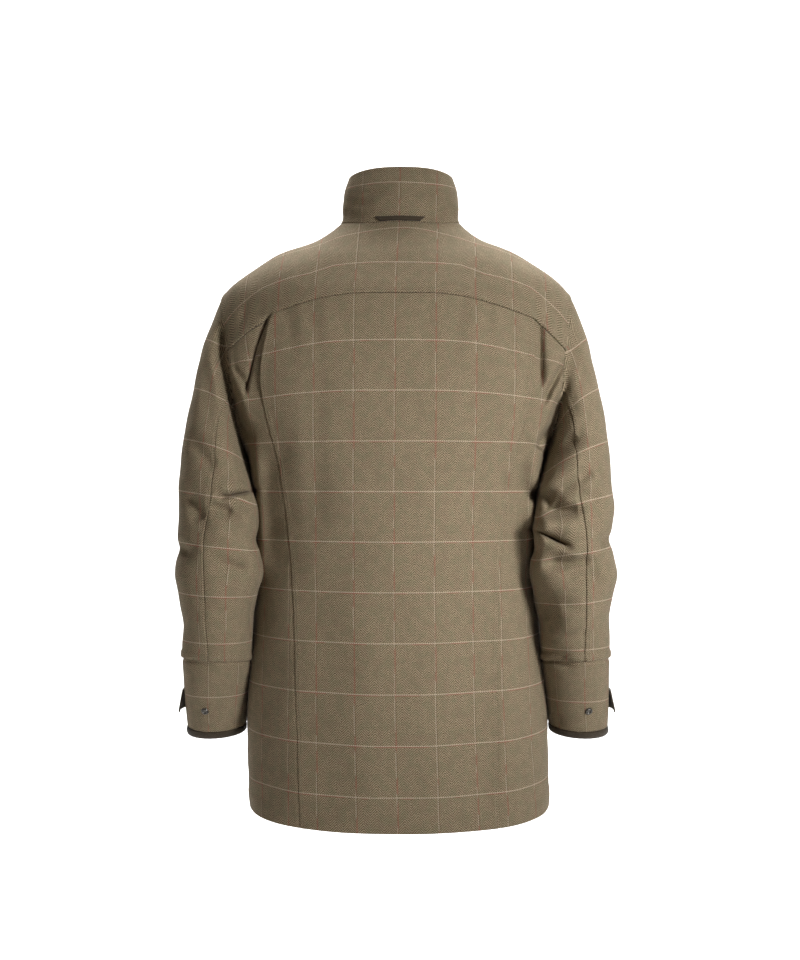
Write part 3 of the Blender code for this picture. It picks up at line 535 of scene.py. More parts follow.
def sleeve_normals(phi, position):
    """Directions out of the right sleeve's cloth: a short step round crossed with a short step down."""
    step = 10 * STEP
    turn = math.degrees(step)
    round_step = sleeve_points(phi + turn, position) - sleeve_points(phi - turn, position)
    low = np.maximum(position - step, 0.0)
    down_step = sleeve_points(phi, position + step) - sleeve_points(phi, low)
    return unit(np.cross(round_step, down_step))


def on_side(values, side):
    """Points or directions of the right sleeve (side 1), mirrored for the left one (side -1)."""
    return values * np.array([side, 1.0, 1.0])


def from_fold(points, fold, reach=1.0):
    """Across and up from the nearest place on a fold's line, and the fold's strength there."""
    start = np.array([fold.x1, fold.z1])
    run = np.array([fold.x2, fold.z2]) - start
    flat = points[..., [0, 2]] - start
    share = np.clip((flat @ run) / (run @ run), 0.0, 1.0)
    offset = flat - share[..., None] * run
    taper = 1 - (2 * share - 1) ** 4 * 0.6
    return offset, taper * np.exp(-((np.linalg.norm(offset, axis=-1) / (reach * fold.width)) ** 2))


def creased(points, folds):
    """Depth of soft troughs and ridges along the folds' lines: each a bell curve across its line."""
    return sum(fold.depth * from_fold(points, fold)[1] for fold in folds)


def closed_up(points):
    """How far, across and up, the two sides of every tuck move towards each other."""
    shift = np.zeros(points.shape[:-1] + (2,))
    for tuck in TUCKS:
        offset, strength = from_fold(points, tuck, TUCK_REACH)
        shift -= TUCK_CLOSING * strength[..., None] * offset
    return shift


def sleeve_bumps(points, normals):
    """The folds' bumps on the outer side of each sleeve, which show in its outline."""
    height = np.zeros(points.shape[:-1])
    for bump in SLEEVE_BUMPS:
        outward = ease(bump.side * normals[..., 0], *OUTER_SIDE)
        height += bump.out * outward * np.exp(-(((points[..., 2] - bump.z) / bump.half_height) ** 2))
    return height


def with_creases(points, on_sleeve):
    """The back's creases push its cloth forward and the front's push theirs back, fading at the sides."""
    y = points[..., 1]
    back = BROAD_FOLDS + ARMPIT_FOLDS + TUCKS + (SLEEVE_FOLDS if on_sleeve else TRUNK_FOLDS)
    front_folds = SLEEVE_FRONT_FOLDS if on_sleeve else TRUNK_FRONT_FOLDS
    moved = points.copy()
    on_back = ease(-y, *BACK_FADE)
    moved[..., 1] += creased(points, back) * on_back
    moved[..., [0, 2]] += closed_up(points) * on_back[..., None]
    moved[..., 1] -= creased(points, front_folds) * ease(y, *FRONT_FADE)
    return moved


def unevenness(points):
    """The cloth's slight, broad waviness: the sum of slow sine waves that cross."""
    height = np.zeros(points.shape[:-1])
    for wave in WAVES:
        along = points @ np.array([wave.along_x, wave.along_y, wave.along_z])
        height += wave.height * np.sin(along + wave.phase)
    return height


def with_sway(points):
    """The coat's slight lean to one side, which changes with height."""
    moved = points.copy()
    moved[..., 0] += np.interp(points[..., 2], [s.z for s in SWAYS], [s.x for s in SWAYS])
    return moved


# Meshes


def shell_mesh(name, outer, inner, normals, uv):
    """A thin closed shell from two grids of points: both faces and the rim round them."""
    rows, columns = outer.shape[:2]
    index = np.arange(rows * columns).reshape(rows, columns)
    face = np.stack([index[:-1, :-1], index[:-1, 1:], index[1:, 1:], index[1:, :-1]], -1).reshape(-1, 4)
    ring = np.concatenate([index[0, :-1], index[:-1, -1], index[-1, :0:-1], index[:0:-1, 0]])
    after = np.roll(ring, -1)
    size = rows * columns
    rim = np.stack([after, ring, ring + size, after + size], -1)
    middle = (rows // 2, columns // 2)
    facing = np.cross(
        outer[middle[0], middle[1] + 1] - outer[middle], outer[middle[0] + 1, middle[1]] - outer[middle]
    )
    quads = np.concatenate([face, face[:, ::-1] + size, rim])
    if facing @ normals[middle] < 0:
        quads = quads[:, ::-1]
    points = np.concatenate([outer.reshape(-1, 3), inner.reshape(-1, 3)])
    return plain_mesh(name, points, quads, np.concatenate([uv.reshape(-1, 2)] * 2))


def plain_mesh(name, points, quads, uv=None):
    """A smooth mesh from points and faces, with the cloth's own coordinates in metres if given."""
    mesh = bpy.data.meshes.new(name)
    mesh.from_pydata(points.tolist(), [], quads.tolist())
    if uv is not None:
        layer = mesh.uv_layers.new(name="cloth")
        layer.data.foreach_set("uv", uv[quads.ravel()].astype(np.float32).ravel())
    mesh.shade_smooth()
    mesh.update()
    return mesh


def add_piece(name, mesh, material, nodes=()):
    """Puts a mesh in the scene as a piece of the coat's one body, in place of the nodes that it dresses."""
    mesh.materials.append(material)
    piece = bpy.data.objects.new(name, mesh)
    bpy.context.scene.collection.objects.link(piece)
    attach(piece, "root")
    if nodes:
        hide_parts(*nodes)
    return piece


def lengths(points, axis):
    """Distance along each row (axis 1) or column (axis 0) of a grid from its start."""
    step = np.linalg.norm(np.diff(points, axis=axis), axis=-1)
    start = np.zeros_like(np.take(step, [0], axis=axis))
    return np.concatenate([start, np.cumsum(step, axis=axis)], axis=axis)


def stops_along(length, spacing=GRID):
    """Distances along a length: close together by both ends, where the stitching is, and even between."""
    edge = EDGE_STOPS * min(1.0, EDGE_SHARE * length / EDGE_STOPS[-1])
    count = max(2, int(math.ceil((length - 2 * edge[-1]) / spacing)))
    middle = np.linspace(edge[-1], length - edge[-1], count + 1)[1:-1]
    return np.concatenate([edge, middle, length - edge[::-1]])


def shares_across(widths, spacing=GRID):
    """The same number of stops across every row, each row's own width setting its stops by the edges."""
    typical = stops_along(float(np.median(widths)), spacing)
    count = len(EDGE_STOPS)
    scale = np.minimum(1.0, EDGE_SHARE * widths / EDGE_STOPS[-1])[:, None]
    left = EDGE_STOPS * scale / widths[:, None]
    inner = np.linspace(0.0, 1.0, len(typical) - 2 * count + 2)[1:-1]
    span = 1 - 2 * left[:, -1:]
    return np.concatenate([left, left[:, -1:] + span * inner, 1 - left[:, ::-1]], axis=1)


def measured_down(loft, angle, first, last, steps):
    """Places down a loft at one angle, and the distance along the cloth to each of them."""
    fine = np.linspace(first, last, steps)
    return fine, lengths(loft(np.full(steps, angle), fine)[:, None, :], 0)[:, 0]


def stops_down(loft, angle, first, last, steps, spacing):
    """Places down a loft, close together by both ends, measured at one angle."""
    fine, run = measured_down(loft, angle, first, last, steps)
    return np.interp(stops_along(run[-1], spacing), run, fine)


def stops_round(loft, left, right, places, steps, spacing):
    """Angles across each row of a loft from its left edge to its right edge, close together by both edges."""
    share = np.linspace(0.0, 1.0, steps)
    coarse = left[:, None] * (1 - share) + right[:, None] * share
    run = lengths(loft(coarse, places[:, None]), 1)
    stops = shares_across(run[:, -1], spacing) * run[:, -1:]
    return np.stack([np.interp(stops[k], run[k], coarse[k]) for k in range(len(places))])


def stitch_rows(points, normals, distance, offset, along_rows):
    """Points and normals of the line that runs at an offset from one edge of a grid."""
    if not along_rows:
        points, normals, distance = (np.swapaxes(a, 0, 1) for a in (points, normals, distance))
    line, up = [], []
    for row in range(points.shape[0]):
        order = np.argsort(distance[row])
        line.append([np.interp(offset, distance[row][order], points[row, order, k]) for k in range(3)])
        up.append([np.interp(offset, distance[row][order], normals[row, order, k]) for k in range(3)])
    return np.array(line), unit(np.array(up))


def stitching(name, lines, material):
    """Rows of stitches, each a short round thread that thins and dips into the cloth at both ends."""
    stops, sides = 5, 6
    along = np.linspace(0.0, 1.0, stops)
    turn = np.linspace(0, 2 * np.pi, sides, endpoint=False)
    to_end = (2 * along - 1) ** 4
    girth = STITCH_RADIUS * (1 - STITCH_THINNING * to_end)
    all_points, all_quads, used = [], [], 0
    for line, up in lines:
        run = lengths(line[:, None, :], 0)[:, 0]
        starts = np.arange(STITCH_PITCH, run[-1] - STITCH_PITCH, STITCH_PITCH)
        places = starts[:, None] + along * STITCH_LENGTH
        centre = np.stack([np.interp(places, run, line[:, k]) for k in range(3)], -1)
        normal = unit(np.stack([np.interp(places, run, up[:, k]) for k in range(3)], -1))
        ahead = unit(centre[:, -1:] - centre[:, :1]) * np.ones_like(centre)
        side = unit(np.cross(ahead, normal))
        centre = centre + normal * (STITCH_PROUD - STITCH_SINK * to_end)[:, None]
        spoke = side[:, :, None] * np.cos(turn)[:, None] + normal[:, :, None] * np.sin(turn)[:, None]
        rings = centre[:, :, None] + spoke * girth[:, None, None]
        index = used + np.arange(len(starts) * stops * sides).reshape(-1, stops, sides)
        after = np.roll(index, -1, axis=2)
        quads = np.stack([index[:, :-1], after[:, :-1], after[:, 1:], index[:, 1:]], -1).reshape(-1, 4)
        all_points.append(rings.reshape(-1, 3))
        all_quads.append(quads)
        used += index.size
    mesh = plain_mesh(name, np.concatenate(all_points), np.concatenate(all_quads))
    return add_piece(name, mesh, material)


def sewn_lift(points, edges):
    """Height of the seam allowances, rolled rims, stitch lines and puckers round a panel's four edges."""
    down = lengths(points, 0)
    across = lengths(points, 1)
    away = {
        "left": across,
        "right": across[:, -1:] - across,
        "top": down,
        "bottom": down[-1:] - down,
    }
    lift = np.zeros(points.shape[:-1])
    for side, edge in edges.items():
        distance = away[side]
        along = down if side in ("left", "right") else across
        lift += edge.lift * (1 - ease(distance, edge.reach, edge.reach + SEAM_FADE))
        lift -= edge.roll * np.clip(1 - distance / RIM_REACH, 0, 1) ** 2
        for offset in edge.stitches:
            lift -= STITCH_GROOVE * np.exp(-(((distance - offset) / STITCH_GROOVE_WIDTH) ** 2))
        if edge.stitches:
            short, long = (along * 2 * np.pi / length for length in PUCKER_LENGTHS)
            near = np.exp(-(((distance - edge.stitches[0]) / PUCKER_REACH) ** 2))
            lift += PUCKER_HEIGHT * np.sin(short) * np.sin(long + PUCKER_PHASE) * near
    return lift, away


def cloth_piece(node, points, normals, edges, uv, lift, on_sleeve=False):
    """One panel as a thin shell with its creases, sewn edges and stitching."""
    name = f"{node}_cloth"
    sewn, away = sewn_lift(points, edges)
    height = lift + sewn + unevenness(points)
    if on_sleeve:
        height = height + sleeve_bumps(points, normals)
    outer, inner = (
        with_sway(with_creases(points + normals * (height - depth)[..., None], on_sleeve))
        for depth in (0.0, CLOTH)
    )
    piece = add_piece(name, shell_mesh(name, outer, inner, normals, uv), TWEED, (node,))
    lines = []
    for side, edge in edges.items():
        for offset in edge.stitches:
            lines.append(stitch_rows(outer, normals, away[side], offset, side in ("left", "right")))
    sewing = [stitching(name + "_stitching", lines, THREAD)] if lines else []


# Panels of the trunk


def rows_down(angle, first, last, spacing=GRID):
    """Trunk rows from first to last, measured down one angle."""
    return stops_down(trunk_points, angle, first, last, 400, spacing)


def angles_between(left, right, rows, spacing=GRID):
    """Trunk angles across each row from its left edge to its right edge."""
    return stops_round(trunk_points, left, right, rows, 25, spacing)


def side_edge(row, front=False):
    """The panel edge next to the arm: the armhole down to the armpit, then the side seam."""
    reach = np.clip((ARMHOLE_MID_ROW - row) / ARMHOLE_HALF_ROWS, -1.0, 1.0)
    offset = (ARMHOLE_FRONT_ANGLE if front else ARMHOLE_BACK_ANGLE) * np.sqrt(1 - reach**2)
    gap = ARMHOLE_GAP_ANGLE * (1 - ease(row, ARMPIT_ROW - ARMHOLE_GAP_FADE, ARMPIT_ROW))
    offset = np.maximum(np.where(row > ARMPIT_ROW, 0.0, offset), SIDE_SEAM_ANGLE) + gap
    return np.pi / 2 + offset if front else np.pi / 2 - offset


def slanted(row, share):
    """Rows of the side back, dropping with the yoke's edge from the pleat (share 0) to the armhole (1)."""
    slant = (float(armhole(YOKE_BACK_CORNER)[1]) - YOKE_ROW) / (LEVEL_ROW - YOKE_ROW)
    return row + slant * share * np.maximum(LEVEL_ROW - row, 0.0)


def pleat_x(row, side):
    """The edge of the middle back: its seam, with the left pleat leaning in towards the yoke."""
    lean = LEFT_PLEAT_LEAN * (1 - ease(row, *LEFT_PLEAT_ROWS)) if side < 0 else 0.0
    return section_value("back_seam_x", row) - lean


def run_down(row):
    """Distance down the middle of the back from the collar's top edge to a row."""
    return np.interp(row, *measured_down(trunk_points, 0.0, COLLAR_TOP_ROW, HEM_ROW, 800))


def run_round(angle, row, front_panel):
    """Distance round the trunk, seen from above, from the middle of the back or of the front."""
    middle = np.pi * np.sign(angle) if front_panel else np.zeros_like(angle)
    share = np.linspace(0.0, 1.0, 30)
    path = trunk_points(
        middle[..., None] * (1 - share) + angle[..., None] * share, row[..., None] * np.ones_like(share)
    )
    run = np.linalg.norm(np.diff(path, axis=-2)[..., :2], axis=-1).sum(axis=-1)
    return run * np.sign(angle - middle)


def yoke_uv(points):
    """Cloth coordinates of the yoke: straight across the shoulders, with lines that droop at their ends."""
    x, y, z = points[..., 0], points[..., 1] - YOKE_RIDGE_Y, points[..., 2]
    shoulder = range(NECK_ROW, YOKE_ROW)
    widths = [SECTIONS[row - COLLAR_TOP_ROW].half_width for row in shoulder]
    heights = [SECTIONS[row - COLLAR_TOP_ROW].z_side for row in shoulder]
    drop = np.maximum(np.interp(np.abs(x), widths, heights) - z, 0.0)
    down = -YOKE_BACK_SHARE * y - YOKE_DROP_SHARE * np.sign(y) * drop
    down = down + YOKE_SHOULDER_SLANT * np.maximum(np.abs(x) - widths[0], 0.0)
    return np.stack([x * (1 + YOKE_END_STRETCH * x**2) + CHECK_SHIFT, down - YOKE_LINE_DOWN], -1)


def trunk_panel(node, angle, rows, edges, lift=0.0, shift=CHECK_SHIFT, line=BACK_LINE_ROW):
    """A patch of the trunk. Its cloth is measured round from the middle line and down from a check line."""
    row = rows[:, None] * np.ones_like(angle) if rows.ndim == 1 else rows
    points = trunk_points(angle, row)
    if node == "yoke":
        uv = yoke_uv(points)
    else:
        front_panel = node.startswith("front")
        down = FRONT_LINE_Z - points[..., 2] if front_panel else run_down(row) - run_down(line)
        uv = np.stack([run_round(angle, row, front_panel) + shift, down], -1)
    lift = np.broadcast_to(lift, angle.shape)
    cloth_piece(node, points, trunk_normals(angle, row), edges, uv, lift)


def back_centre():
    """Middle of the back, from the yoke to the hem, between the edges of both pleats."""
    rows = rows_down(0.0, YOKE_ROW + YOKE_SEAM_ROOM, HEM_ROW)
    left, right = (angle_at_x(pleat_x(rows, side), rows) - PLEAT_SEAM_ANGLE for side in (-1, 1))
    edges = {"left": STITCHED, "right": STITCHED, "top": UNDER, "bottom": HEMMED}
    trunk_panel("back_centre", angles_between(-left, right, rows), rows, edges)


def back_side(side, word):
    """Side back panel: its pleat lies deep and runs under the middle of the back."""
    rows = rows_down(SIDE_BACK_RUN, YOKE_ROW + SIDE_BACK_ROOM, HEM_ROW)
    pleat_rows = [p.row for p in PLEAT]
    depth_share = np.interp(rows, pleat_rows, [p.depth_share for p in PLEAT])
    underlap = np.interp(rows, pleat_rows, [p.underlap_share for p in PLEAT]) * PLEAT_UNDERLAP
    inner = angle_at_x(pleat_x(rows, side) - underlap, rows) + PLEAT_SEAM_ANGLE
    angle = angles_between(inner, side_edge(slanted(rows, 1.0)), rows)
    share = (angle - angle[:, :1]) / (angle[:, -1:] - angle[:, :1])
    row = slanted(rows[:, None], share)
    hollow = PLEAT_DEPTH * depth_share[:, None] * (1 - ease(share, PLEAT_FLAT_SHARE, PLEAT_REACH))
    edges = {"left": UNDER, "right": DOUBLE, "top": UNDER, "bottom": HEMMED}
    trunk_panel(f"back_side_{word}", side * angle, row, edges, -hollow,
                CHECK_SHIFT + SIDE_BACK_SHIFT * side)


def front(side, word):
    """Front panel. The coat's own left one (side -1) laps over its right one."""
    rows = rows_down(FRONT_RUN, NECK_ROW + NECK_SEAM_ROOM, HEM_ROW, FRONT_GRID)
    shoulder = float(armhole(-YOKE_FRONT_CORNER)[0]) + SHOULDER_SEAM_ANGLE + ARMHOLE_GAP_ANGLE
    outer = np.where(rows < YOKE_ROW, shoulder, side_edge(rows, front=True))
    angle = angles_between(outer, angle_at_x(-FRONT_OVERLAP, rows, front=True), rows, FRONT_GRID)
    lift = 0.0
    if side < 0:
        x = -trunk_points(angle, rows[:, None])[..., 0]
        lift = OVERLAP_LIFT * ease(x, LIFT_FROM_X, LIFT_TO_X)
    edges = {"left": DOUBLE, "right": STITCHED, "top": UNDER, "bottom": HEMMED}
    trunk_panel(f"front_{word}", side * angle, rows, edges, lift, FRONT_SHIFT * side)


def yoke():
    """Yoke: from the neck seam to its back seam, whose ends slant down, and to both armholes."""
    left, right = (float(angle_at_x(pleat_x(YOKE_ROW, side), YOKE_ROW)) for side in (-1, 1))
    corner = float(armhole(YOKE_BACK_CORNER)[0])
    half = np.array([float(armhole(-YOKE_FRONT_CORNER)[0])])
    angle = angles_between(-half, half, np.array([YOKE_MIDDLE_ROW]))[0]
    offset = np.pi / 2 - np.abs(angle)
    wide = np.where(offset > 0, ARMHOLE_BACK_ANGLE, ARMHOLE_FRONT_ANGLE)
    turn = np.sqrt(np.maximum(1 - (offset / wide) ** 2, 0.0))
    hole = ARMHOLE_MID_ROW - ARMHOLE_HALF_ROWS * turn
    seam_angle = np.where(angle < 0, left, right)
    along = np.clip((np.abs(angle) - seam_angle) / (corner - seam_angle), 0.0, 1.0)
    lowest = np.where(np.abs(angle) < corner, slanted(YOKE_ROW, along), hole) - YOKE_SEAM_ROOM
    first = NECK_ROW + NECK_SEAM_ROOM
    rows = rows_down(0.0, first, YOKE_ROW, YOKE_GRID)
    share = (rows - rows[0]) / (rows[-1] - rows[0])
    row = first + share[:, None] * (lowest - first)
    edges = {"left": STITCHED, "right": STITCHED, "top": UNDER, "bottom": LAPPED}
    trunk_panel("yoke", np.broadcast_to(angle, row.shape), row, edges)


def collar():
    """Stand collar: from its top edge to the neck seam, open at the front."""
    end = float(angle_at_x(COLLAR_FRONT_GAP, NECK_ROW, front=True))
    rows = rows_down(0.0, COLLAR_TOP_ROW, NECK_ROW - COLLAR_SEAM_ROOM, COLLAR_GRID)
    half = np.full(len(rows), end)
    edges = {"left": FREE, "right": FREE, "top": FREE, "bottom": SEAM}
    angle = angles_between(-half, half, rows)
    trunk_panel("collar", angle, rows, edges, line=COLLAR_LINE_ROW)


# Panels of the sleeves


def sleeve_stops(first, last, spacing=GRID):
    """Places down a sleeve from first to last."""
    return stops_down(sleeve_points, SLEEVE_RUN, first, last, 300, spacing)


def sleeve_panel(node, side, left, right, position, edges, shift, line_down):
    """A patch of the coat's right sleeve (side 1) or left sleeve (side -1), between two angles.

    Its check lines lie between level and square to the sleeve, as the sleeve's slant says.
    """
    phi = stops_round(sleeve_points, left, right, position, 33, GRID)
    place = position[:, None] * np.ones_like(phi)
    points = on_side(sleeve_points(phi, place), side)
    normals = on_side(sleeve_normals(phi, place), side)
    run = np.interp(place, *measured_down(sleeve_points, 90.0, 0, CUFF_EDGE_RING, 300))
    girth = np.radians(phi - SLEEVE_MIDDLE) * SLEEVE_RADIUS
    slant, rise = (RIGHT_SLEEVE_SLANT, 0.0) if side > 0 else (LEFT_SLEEVE_SLANT, LEFT_SLEEVE_RISE)
    level = slant * (run + SLEEVE_HEAD_DOWN) - (1 - slant) * points[..., 2]
    uv = np.stack([(girth + shift) * side, level + rise - line_down], -1)
    cloth_piece(node, points, normals, edges, uv, np.zeros_like(phi), True)


def sleeve(side, word):
    """One sleeve: its top and under panels between the two seams, and the cuff below them."""
    position = sleeve_stops(SLEEVE_START, CUFF_SEAM_RING - CUFF_SEAM_ROOM)
    back = through_rows(SLEEVE_BACK_SEAM, position)
    front_seam = through_rows(SLEEVE_FRONT_SEAM, position)
    edges = {"left": SEAM, "right": STITCHED, "top": SEAM, "bottom": CUFF_SEAM}
    sleeve_panel(f"sleeve_top_{word}", side, front_seam + FRONT_SEAM_DEGREES - 360, back - BACK_SEAM_DEGREES,
                 position, edges, SLEEVE_TOP_SHIFT, SLEEVE_LINE_DOWN)
    edges = {"left": UNDER, "right": SEAM, "top": SEAM, "bottom": CUFF_SEAM}
    sleeve_panel(f"sleeve_under_{word}", side, back + BACK_SEAM_DEGREES, front_seam - FRONT_SEAM_DEGREES,
                 position, edges, SLEEVE_UNDER_SHIFT, SLEEVE_LINE_DOWN)
    position = sleeve_stops(CUFF_SEAM_RING + CUFF_SEAM_ROOM, CUFF_EDGE_RING - CUFF_END_ROOM, CUFF_GRID)
    join = np.full(len(position), float(SLEEVE_FRONT_SEAM[-1]))
    edges = {"left": PLAIN, "right": PLAIN, "top": CUFF_TOP, "bottom": SEAM}
    sleeve_panel(f"cuff_{word}", side, join, join + 360.0, position, edges, CUFF_SHIFT,
                 CUFF_LINE_DOWN)


# Trim


def trim_shell(name, node, points, normals, lift, thickness):
    """A piece of trim as a thin shell that lies lift above the loft."""
    uv = np.stack([lengths(points, 1), lengths(points, 0)], -1)
    outer = with_sway(points + normals * lift[..., None])
    inner = with_sway(points + normals * (lift - thickness)[..., None])
    piece = add_piece(name, shell_mesh(name, outer, inner, normals, uv), SUEDE, (node,))


BINDING_SINK = 0.0004
BINDING_BULGE = 0.0017
BINDING_RIPPLE = 0.00012
BINDING_RIPPLES = 34
BINDING_RIM = 0.0022
BINDING_FULLNESS = 0.0024


def cuff_binding(side, word):
    """The bound edge: a rounded roll, proud of the cuff, with the section of half an ellipse."""
    around, rise = 121, 11
    position = np.linspace(CUFF_EDGE_RING - BINDING_RINGS, CUFF_EDGE_RING, rise)[:, None] * np.ones(around)
    join = SLEEVE_FRONT_SEAM[-1]
    phi = np.linspace(join, join + 360, around) * np.ones((rise, 1))
    bulge = np.sqrt(np.maximum(1 - np.linspace(-1, 1, rise) ** 2, 0.0))[:, None] * np.ones(around)
    ripple = BINDING_RIPPLE * np.sin(np.radians(phi) * BINDING_RIPPLES)
    lift = BINDING_BULGE * bulge - BINDING_SINK + ripple
    points = on_side(sleeve_points(phi, position), side)
    normals = on_side(sleeve_normals(phi, position), side)
    trim_shell(f"cuff_binding_{word}_roll", f"cuff_binding_{word}", points, normals, lift,
               BINDING_RIM + BINDING_FULLNESS * bulge)


TAB_RINGS = (8.80, 9.36)
TAB_ANGLES = (-75, 22)
TAB_CLEARANCE = 0.0005
TAB_FLARE = 0.0095
TAB_FLARE_START = 40
TAB_TOP_FLARE = 0.12
TAB_RIM_ROLL = 0.0006
TAB_RIM_REACH = 0.0016
TAB_GROOVE = 0.0003
TAB_GROOVE_PLACE = 0.003
TAB_GROOVE_WIDTH = 0.0009


def cuff_tab(side, word):
    """Strap over the cuff: sewn at its front end, with its free end flaring away along the lower edge."""
    along, rise = 61, 25
    position = np.linspace(*TAB_RINGS, rise)[:, None] * np.ones(along)
    phi = np.linspace(*TAB_ANGLES, along) * np.ones((rise, 1))
    to_end = ease(phi, TAB_ANGLES[0] + TAB_FLARE_START, TAB_ANGLES[1])
    to_foot = (position - TAB_RINGS[0]) / (TAB_RINGS[1] - TAB_RINGS[0])
    flare = TAB_FLARE * to_end * (TAB_TOP_FLARE + (1 - TAB_TOP_FLARE) * to_foot)
    points = on_side(sleeve_points(phi, position), side)
    normals = on_side(sleeve_normals(phi, position), side)
    down, across = lengths(points, 0), lengths(points, 1)
    rim = np.minimum(np.minimum(down, down[-1:] - down), np.minimum(across, across[:, -1:] - across))
    roll = TAB_RIM_ROLL * np.clip(1 - rim / TAB_RIM_REACH, 0, 1) ** 2
    groove = TAB_GROOVE * np.exp(-(((rim - TAB_GROOVE_PLACE) / TAB_GROOVE_WIDTH) ** 2))
    lift = TAB_CLEARANCE + TRIM_CLOTH + flare - roll - groove
    trim_shell(f"cuff_tab_{word}_strap", f"cuff_tab_{word}", points, normals, lift, TRIM_CLOTH)


LOOP_HALF_LENGTH = 0.036
LOOP_END_SLANT = 0.007
LOOP_TOP_ROW = -0.30
LOOP_WIDTH_ROWS = 0.27
LOOP_CLEARANCE = 0.0007
LOOP_BOW = 0.0012
LOOP_RIM_ROLL = 0.0007


def hanger_loop():
    """Tape loop at the back neck, its two ends slanting up into the collar seam."""
    share = np.linspace(0.0, 1.0, 13)[:, None]
    reach = np.linspace(-1.0, 1.0, 61)[None, :]
    row = (LOOP_TOP_ROW + LOOP_WIDTH_ROWS * share) * np.ones_like(reach)
    angle = angle_at_x((LOOP_HALF_LENGTH - LOOP_END_SLANT * share) * reach, row)
    roll = LOOP_RIM_ROLL * np.abs(2 * share - 1) ** 5
    lift = LOOP_CLEARANCE + TRIM_CLOTH + LOOP_BOW * (1 - reach**2) - roll
    trim_shell("hanger_loop_tape", "hanger_loop", trunk_points(angle, row), trunk_normals(angle, row),
               lift, TRIM_CLOTH)


StudRing = namedtuple("StudRing", "radius height")
STUD_PROFILE = [
    StudRing(0.0000, 0.0008),
    StudRing(0.0012, 0.0008),
    StudRing(0.0021, 0.0009),
    StudRing(0.0027, 0.0016),
    StudRing(0.0034, 0.0021),
    StudRing(0.0043, 0.0021),
    StudRing(0.0050, 0.0016),
    StudRing(0.0055, 0.0006),
    StudRing(0.0056, 0.0000),
    StudRing(0.0030, -0.0004),
    StudRing(0.0000, -0.0004),
]
STUD_LIFT = 0.0004
CUFF_STUD_ANGLE = 79.0
CUFF_STUD_RING = 9.25


def press_stud(node, point, normal):
    """A turned ring stud: its profile (radius, height) swept round the line that stands out of the cloth."""
    profile = np.array(STUD_PROFILE)
    rings, around = 41, 49
    place = np.linspace(0, len(profile) - 1, rings)
    radius = np.maximum(through_rows(profile[:, 0], place), 0.0)
    height = through_rows(profile[:, 1], place)
    turn = np.linspace(0, 2 * np.pi, around)
    first = unit(np.cross(normal, [0.0, 0.0, 1.0]))
    second = np.cross(normal, first)
    points = (
        point
        + normal * (height[:, None, None] + STUD_LIFT)
        + radius[:, None, None] * (first * np.cos(turn)[:, None] + second * np.sin(turn)[:, None])
    )
    index = np.arange(rings * around).reshape(rings, around)
    quads = np.stack([index[:-1, :-1], index[1:, :-1], index[1:, 1:], index[:-1, 1:]], -1).reshape(-1, 4)
    name = f"{node}_cap"
    add_piece(name, plain_mesh(name, points.reshape(-1, 3), quads), METAL, (node,))


def studs():
    """A stud on the back of each cuff, and a row of them down the lapped front."""
    phi, position = np.array([CUFF_STUD_ANGLE]), np.array([CUFF_STUD_RING])
    for side, word in SIDES:
        point = with_sway(on_side(sleeve_points(phi, position), side))[0]
        press_stud(f"cuff_stud_{word}", point, on_side(sleeve_normals(phi, position), side)[0])
    for number, row in enumerate(FRONT_STUD_ROWS, 1):
        row = np.array([row])
        angle = angle_at_x(0.0, row, front=True)
        normal = trunk_normals(angle, row)[0]
        point = with_sway(trunk_points(angle, row))[0] + normal * OVERLAP_LIFT
        press_stud(f"front_stud_{number}", point, normal)


# Finishes


